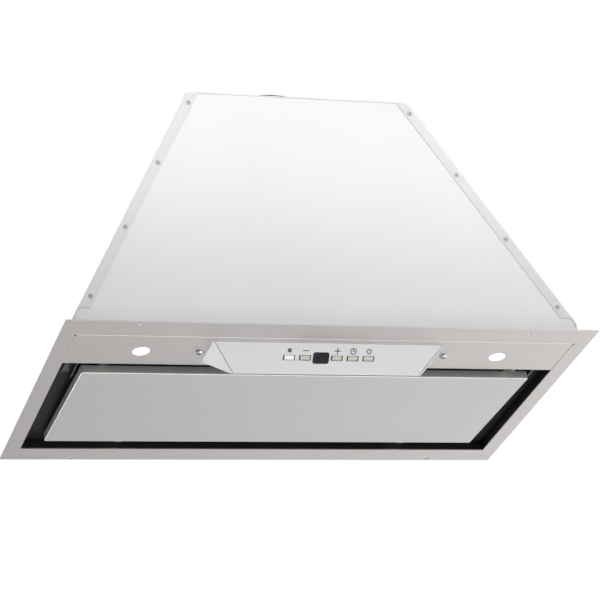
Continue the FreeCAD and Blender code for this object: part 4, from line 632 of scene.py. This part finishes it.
def collar_screws():
    """Four zinc screws through the collar's flange."""
    boxes = solids_of("collar_screws")
    low, high = boxes[0]
    plate_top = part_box("top_plate")[1][2] / MM
    seat = plate_top + COLLAR_FLANGE_GAUGE
    template = pan_head_screw((high.x - low.x) / 2, high.z - seat, COLLAR_SHANK_RADIUS, seat - low.z)
    spots = []
    for index, (low, high) in enumerate(boxes):
        middle = (low + high) / 2
        turn = Matrix.Rotation(index * COLLAR_SCREW_TURN, 4, "Z")
        spots.append(Matrix.Translation((middle.x, middle.y, seat)) @ turn)
    piece("collar_screw_set", copies(template, spots), "zinc", replaced="collar_screws")


def body_rivets():
    """Blind rivets: a domed head with the broken mandrel down its middle."""
    boxes = solids_of("body_rivets")
    low, high = boxes[0]
    radius = (high.x - low.x) / 2
    head = RIVET_HEAD_HEIGHT
    end = head - (high.y - low.y)
    hole, rim, tail = (radius * share for share in (RIVET_HOLE_SHARE, RIVET_RIM_SHARE, RIVET_TAIL_SHARE))
    well = head * RIVET_WELL_SHARE
    profile = [(0, end), (tail, end), (tail, end + RIVET_TAIL_HEIGHT),
               (RIVET_SHANK_RADIUS, end + RIVET_TAIL_HEIGHT), (RIVET_SHANK_RADIUS, 0), (radius, 0),
               (radius, head * RIVET_EDGE_SHARE), (rim, head * RIVET_SHOULDER_SHARE),
               ((rim + hole) / 2, head), (hole, head * RIVET_LIP_SHARE),
               (hole * RIVET_WELL_TAPER, well), (0, well)]
    pin = [(0, 0), (hole * MANDREL_SHARE, 0), (hole * MANDREL_SHARE, head * MANDREL_SHOULDER_SHARE),
           (hole * MANDREL_TIP_SHARE, head * MANDREL_TOP_SHARE), (0, head * MANDREL_TOP_SHARE)]
    spots = []
    for low, high in boxes:
        middle = (low + high) / 2
        front = middle.y < 0
        face = low.y + head if front else high.y - head
        way = Matrix.Rotation(math.pi / 2 if front else -math.pi / 2, 4, "X")
        spots.append(Matrix.Translation((middle.x, face, middle.z)) @ way)
    piece("rivet_heads", copies(lathe(profile, RIVET_STEPS), spots), "zinc", "rivet_zinc",
          replaced="body_rivets")
    piece("rivet_mandrels", copies(lathe(pin, MANDREL_STEPS), spots), "zinc", "mandrel_steel")


# Symbols over the keys, drawn on the control face: X to the right, Y up the slope, Z outwards

def face_matrix():
    """From the control face's own frame to the hood's, in millimetres."""
    inward = next(Vector(joint["axis"]) for joint in frame["joints"] if joint["name"] == "press_fan")
    outward = -inward.normalized()
    across = Vector((1, 0, 0))
    up_slope = outward.cross(across)
    turn = Matrix((across, up_slope, outward)).transposed().to_4x4()
    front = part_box("control_housing")[0][1] / MM
    return Matrix.Translation((0, front, -FLANGE_GAUGE)) @ turn


def stroke(start, end, width=ICON_STROKE):
    """A straight line of ink."""
    start, end = Vector((*start, 0)), Vector((*end, 0))
    along = end - start
    half = width / 2
    bm = prism([(-half, -half), (along.length + half, -half), (along.length + half, half),
                (-half, half)], ICON_HEIGHT)
    turn = Matrix.Rotation(math.atan2(along.y, along.x), 4, "Z")
    return moved(bm, Matrix.Translation(start) @ turn)


def ring(radius, width=ICON_STROKE):
    """A circle of ink."""
    inner, outer = radius - width / 2, radius + width / 2
    return lathe([(inner, 0), (outer, 0), (outer, ICON_HEIGHT), (inner, ICON_HEIGHT)], closed=True)


def fan_symbol():
    """Four curved blades round a hub."""
    drawn = []
    for index in range(FAN_BLADES):
        turn = math.radians(index * 360 / FAN_BLADES - FAN_TURN)
        drawn.append(moved(prism(FAN_BLADE, ICON_HEIGHT), Matrix.Rotation(turn, 4, "Z")))
    hub = [(0, 0), (FAN_HUB_RADIUS, 0), (FAN_HUB_RADIUS, ICON_HEIGHT), (0, ICON_HEIGHT)]
    return drawn + [lathe(hub, HUB_STEPS)]


def plus_symbol():
    """Two strokes that cross."""
    return [stroke((-PLUS_REACH, 0), (PLUS_REACH, 0)), stroke((0, -PLUS_REACH), (0, PLUS_REACH))]


def clock_symbol():
    """A ring with two hands."""
    hands = [stroke((0, 0), (0, CLOCK_LONG_HAND)), stroke((0, 0), (CLOCK_SHORT_HAND, 0))]
    return [ring(CLOCK_RADIUS), *hands]


def light_symbol():
    """A ring with short rays."""
    drawn = [ring(LIGHT_RADIUS)]
    for index in range(RAY_COUNT):
        turn = index * 2 * math.pi / RAY_COUNT
        way = Vector((math.cos(turn), math.sin(turn)))
        drawn.append(stroke(way * RAY_START, way * RAY_END, RAY_STROKE))
    return drawn


def key_symbols():
    """The printed symbols, one over each key."""
    symbols = {
        "button_fan": fan_symbol(),
        "button_minus": [stroke((-MINUS_REACH, 0), (MINUS_REACH, 0))],
        "button_plus": plus_symbol(),
        "button_timer": clock_symbol(),
        "button_light": light_symbol(),
    }
    to_hood = face_matrix()
    parts = []
    for node, drawn in symbols.items():
        (left, _, _), (right, _, _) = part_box(node)
        place = to_hood @ Matrix.Translation(((left + right) / 2 / MM, -ICON_LINE, 0))
        parts += [moved(bm, place) for bm in drawn]
    piece("key_symbols", gather(parts), "black_plastic", "ink_and_painted_shade")


def key_painted_shade():
    """Painted shade: a dark strip along the left, the top and the right of each key cap's face, where its recess
    lies in shade.
    """
    to_hood = face_matrix()
    to_face = to_hood.inverted()
    nodes = [row["node"] for row in frame["record"]["subparts"]]
    for node in (name for name in nodes if name.startswith("button_")):
        spots = [to_face @ (vert.co / MM) for vert in cad[node].data.vertices]
        level = max(spot.z for spot in spots)
        rim = [spot for spot in spots if spot.z > level - PAINTED_KEY_SHADE_REACH]
        left, right = (pick(spot.x for spot in rim) for pick in (min, max))
        low, high = (pick(spot.y for spot in rim) for pick in (min, max))
        outline = [(left, low), (left + PAINTED_KEY_SHADE_LEFT, low), (left + PAINTED_KEY_SHADE_LEFT, high - PAINTED_KEY_SHADE_TOP),
                   (right - PAINTED_KEY_SHADE_TOP, high - PAINTED_KEY_SHADE_TOP), (right - PAINTED_KEY_SHADE_TOP, low), (right, low),
                   (right, high), (left, high)]
        # Painted shade: a thin dark strip on the key's face where its recess lies in shade
        painted_strips = moved(prism(outline, PAINTED_KEY_SHADE_HEIGHT), to_hood @ Matrix.Translation((0, 0, level)))
        piece("painted_key_shade_" + node, painted_strips, "black_plastic", "ink_and_painted_shade", node)


# Grease filter: two layers of expanded metal

def expanded_layer(width, depth, columns, rows):
    """A flat sheet of diamond openings between strands, centred on the origin."""
    bm = bmesh.new()
    bmesh.ops.create_grid(bm, x_segments=columns, y_segments=rows, size=1)
    squares = list(bm.edges)
    bmesh.ops.poke(bm, faces=bm.faces)
    inner = [edge for edge in squares if not edge.is_boundary]
    bmesh.ops.dissolve_edges(bm, edges=inner, use_verts=False)
    bmesh.ops.scale(bm, vec=(width / 2, depth / 2, 1), verts=bm.verts)
    bmesh.ops.wireframe(bm, faces=bm.faces, thickness=MESH_STRAND, use_replace=True,
                        use_boundary=True, use_even_offset=True)
    return bm


def filter_mesh():
    """Two wavy layers, one over the other, in place of the plain block."""
    low, high = (Vector(corner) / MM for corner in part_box("filter_mesh"))
    middle, span = (low + high) / 2, high - low
    layers = []
    for side in (-1, 1):
        bm = expanded_layer(span.x - 2 * MESH_STRAND, span.y - 2 * MESH_STRAND,
                            round(span.x / MESH_PITCH_X), round(span.y / MESH_PITCH_Y))
        for vert in bm.verts:
            vert.co.z += MESH_WAVE_HEIGHT * math.sin(vert.co.y * 2 * math.pi / MESH_WAVE)
        layers.append(moved(bm, Matrix.Translation((middle.x, middle.y, middle.z + side * MESH_RISE))))
    piece("expanded_mesh", gather(layers), "filter_aluminium", replaced="filter_mesh")


# Spot welds where the body's feet lie on the trim frame

def shares_of(count):
    """The middles of so many equal steps from 0 to 1."""
    return [(index + 0.5) / count for index in range(count)]


def spot_welds():
    """Rows of small dished rings along all four feet."""
    ring_radius, dish_radius = WELD_RADIUS * WELD_RING_SHARE, WELD_RADIUS * WELD_DISH_SHARE
    profile = [(0, -WELD_SINK), (WELD_RADIUS, -WELD_SINK), (WELD_RADIUS, WELD_EDGE),
               (ring_radius, WELD_RING), (dish_radius, WELD_DISH), (0, WELD_EDGE)]
    (left, front, _), (right, rear, _) = (Vector(corner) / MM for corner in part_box("trim_frame"))
    spots = []
    for share in shares_of(WELDS_ALONG):
        x = left * WELD_LENGTH_SHARE * (1 - 2 * share)
        spots += [(x, front + FOOT_MIDDLE), (x, rear - FOOT_MIDDLE)]
    for share in shares_of(WELDS_ACROSS):
        y = front + (rear - front) * (SIDE_WELD_SHARE + (1 - 2 * SIDE_WELD_SHARE) * share)
        spots += [(left + FOOT_MIDDLE, y), (right - FOOT_MIDDLE, y)]
    matrices = [Matrix.Translation((x, y, FOOT_GAUGE)) for x, y in spots]
    piece("spot_welds", copies(lathe(profile, WELD_STEPS), matrices), "body_paint")


# Studio

def dress_world():
    """White where the camera sees it, plainly lit, and darker on the left in what the steel mirrors."""
    world = bpy.data.worlds.new("studio")
    bpy.context.scene.world = world
    world.use_nodes = True
    tree = world.node_tree
    backdrop = tree.nodes["Background"]
    path = shader_node(tree, "ShaderNodeLightPath").outputs
    way = shader_node(tree, "ShaderNodeTexCoord").outputs["Generated"]
    sideways = shader_node(tree, "ShaderNodeSeparateXYZ", {"Vector": way}).outputs["X"]
    mirrored = shader_node(tree, "ShaderNodeMapRange",
                           {"Value": sideways, "From Min": MIRROR_SPAN[0], "From Max": MIRROR_SPAN[1],
                            "To Min": MIRROR_LIGHT[0], "To Max": MIRROR_LIGHT[1]}).outputs["Result"]
    light = shader_node(tree, "ShaderNodeMix",
                        {"Factor": path["Is Glossy Ray"], "A": WORLD_LIGHT, "B": mirrored},
                        data_type="FLOAT").outputs["Result"]
    seen = shader_node(tree, "ShaderNodeMath",
                       {0: path["Is Camera Ray"], 1: path["Is Transmission Ray"]},
                       operation="MAXIMUM").outputs["Value"]
    level = shader_node(tree, "ShaderNodeMix", {"Factor": seen, "A": light, "B": 1.0},
                        data_type="FLOAT").outputs["Result"]
    backdrop.inputs["Color"].default_value = WHITE
    wire(tree, level, backdrop.inputs["Strength"])


def lay_floor():
    """A pale floor that fades into the white round it."""
    bm = bmesh.new()
    bmesh.ops.create_circle(bm, cap_ends=True, segments=FLOOR_SIDES, radius=FLOOR_RADIUS)
    bmesh.ops.translate(bm, vec=(0, 0, FLOOR_LEVEL), verts=bm.verts)
    mesh = bpy.data.meshes.new("floor")
    bm.to_mesh(mesh)
    bm.free()
    floor = bpy.data.objects.new("floor", mesh)
    bpy.context.collection.objects.link(floor)
    pale = finish("floor_pale", FLOOR_COLOUR, roughness=0.7)
    tree = pale.node_tree
    place = shader_node(tree, "ShaderNodeTexCoord").outputs["Object"]
    flat = shader_node(tree, "ShaderNodeVectorMath", {0: place, 1: (1, 1, 0)},
                       operation="MULTIPLY").outputs["Vector"]
    away = shader_node(tree, "ShaderNodeVectorMath", {0: flat}, operation="LENGTH").outputs["Value"]
    fade = shader_node(tree, "ShaderNodeMapRange",
                       {"Value": away, "From Min": FLOOR_FADE, "From Max": FLOOR_RADIUS},
                       interpolation_type="SMOOTHSTEP").outputs["Result"]
    seen = shader_node(tree, "ShaderNodeLightPath").outputs["Is Camera Ray"]
    share = shader_node(tree, "ShaderNodeMath", {0: fade, 1: seen}, operation="MULTIPLY")
    white = shader_node(tree, "ShaderNodeEmission", {"Color": WHITE, "Strength": 1.0})
    mixed = shader_node(tree, "ShaderNodeMixShader",
                        {"Fac": share.outputs["Value"], 1: surface(pale).outputs["BSDF"],
                         2: white.outputs["Emission"]})
    wire(tree, mixed.outputs["Shader"], tree.nodes["Material Output"].inputs["Surface"])
    mesh.materials.append(pale)


finishes = make_finishes()
dress_nodes()
strip_screws()
collar_screws()
body_rivets()
key_symbols()
key_painted_shade()
filter_mesh()
spot_welds()
place_camera()
dress_world()
lay_floor()
for lamp_name, lamp in LAMPS.items():
    soft_lamp(lamp_name, **lamp)

scene = bpy.context.scene
scene.view_settings.view_transform = "Standard"
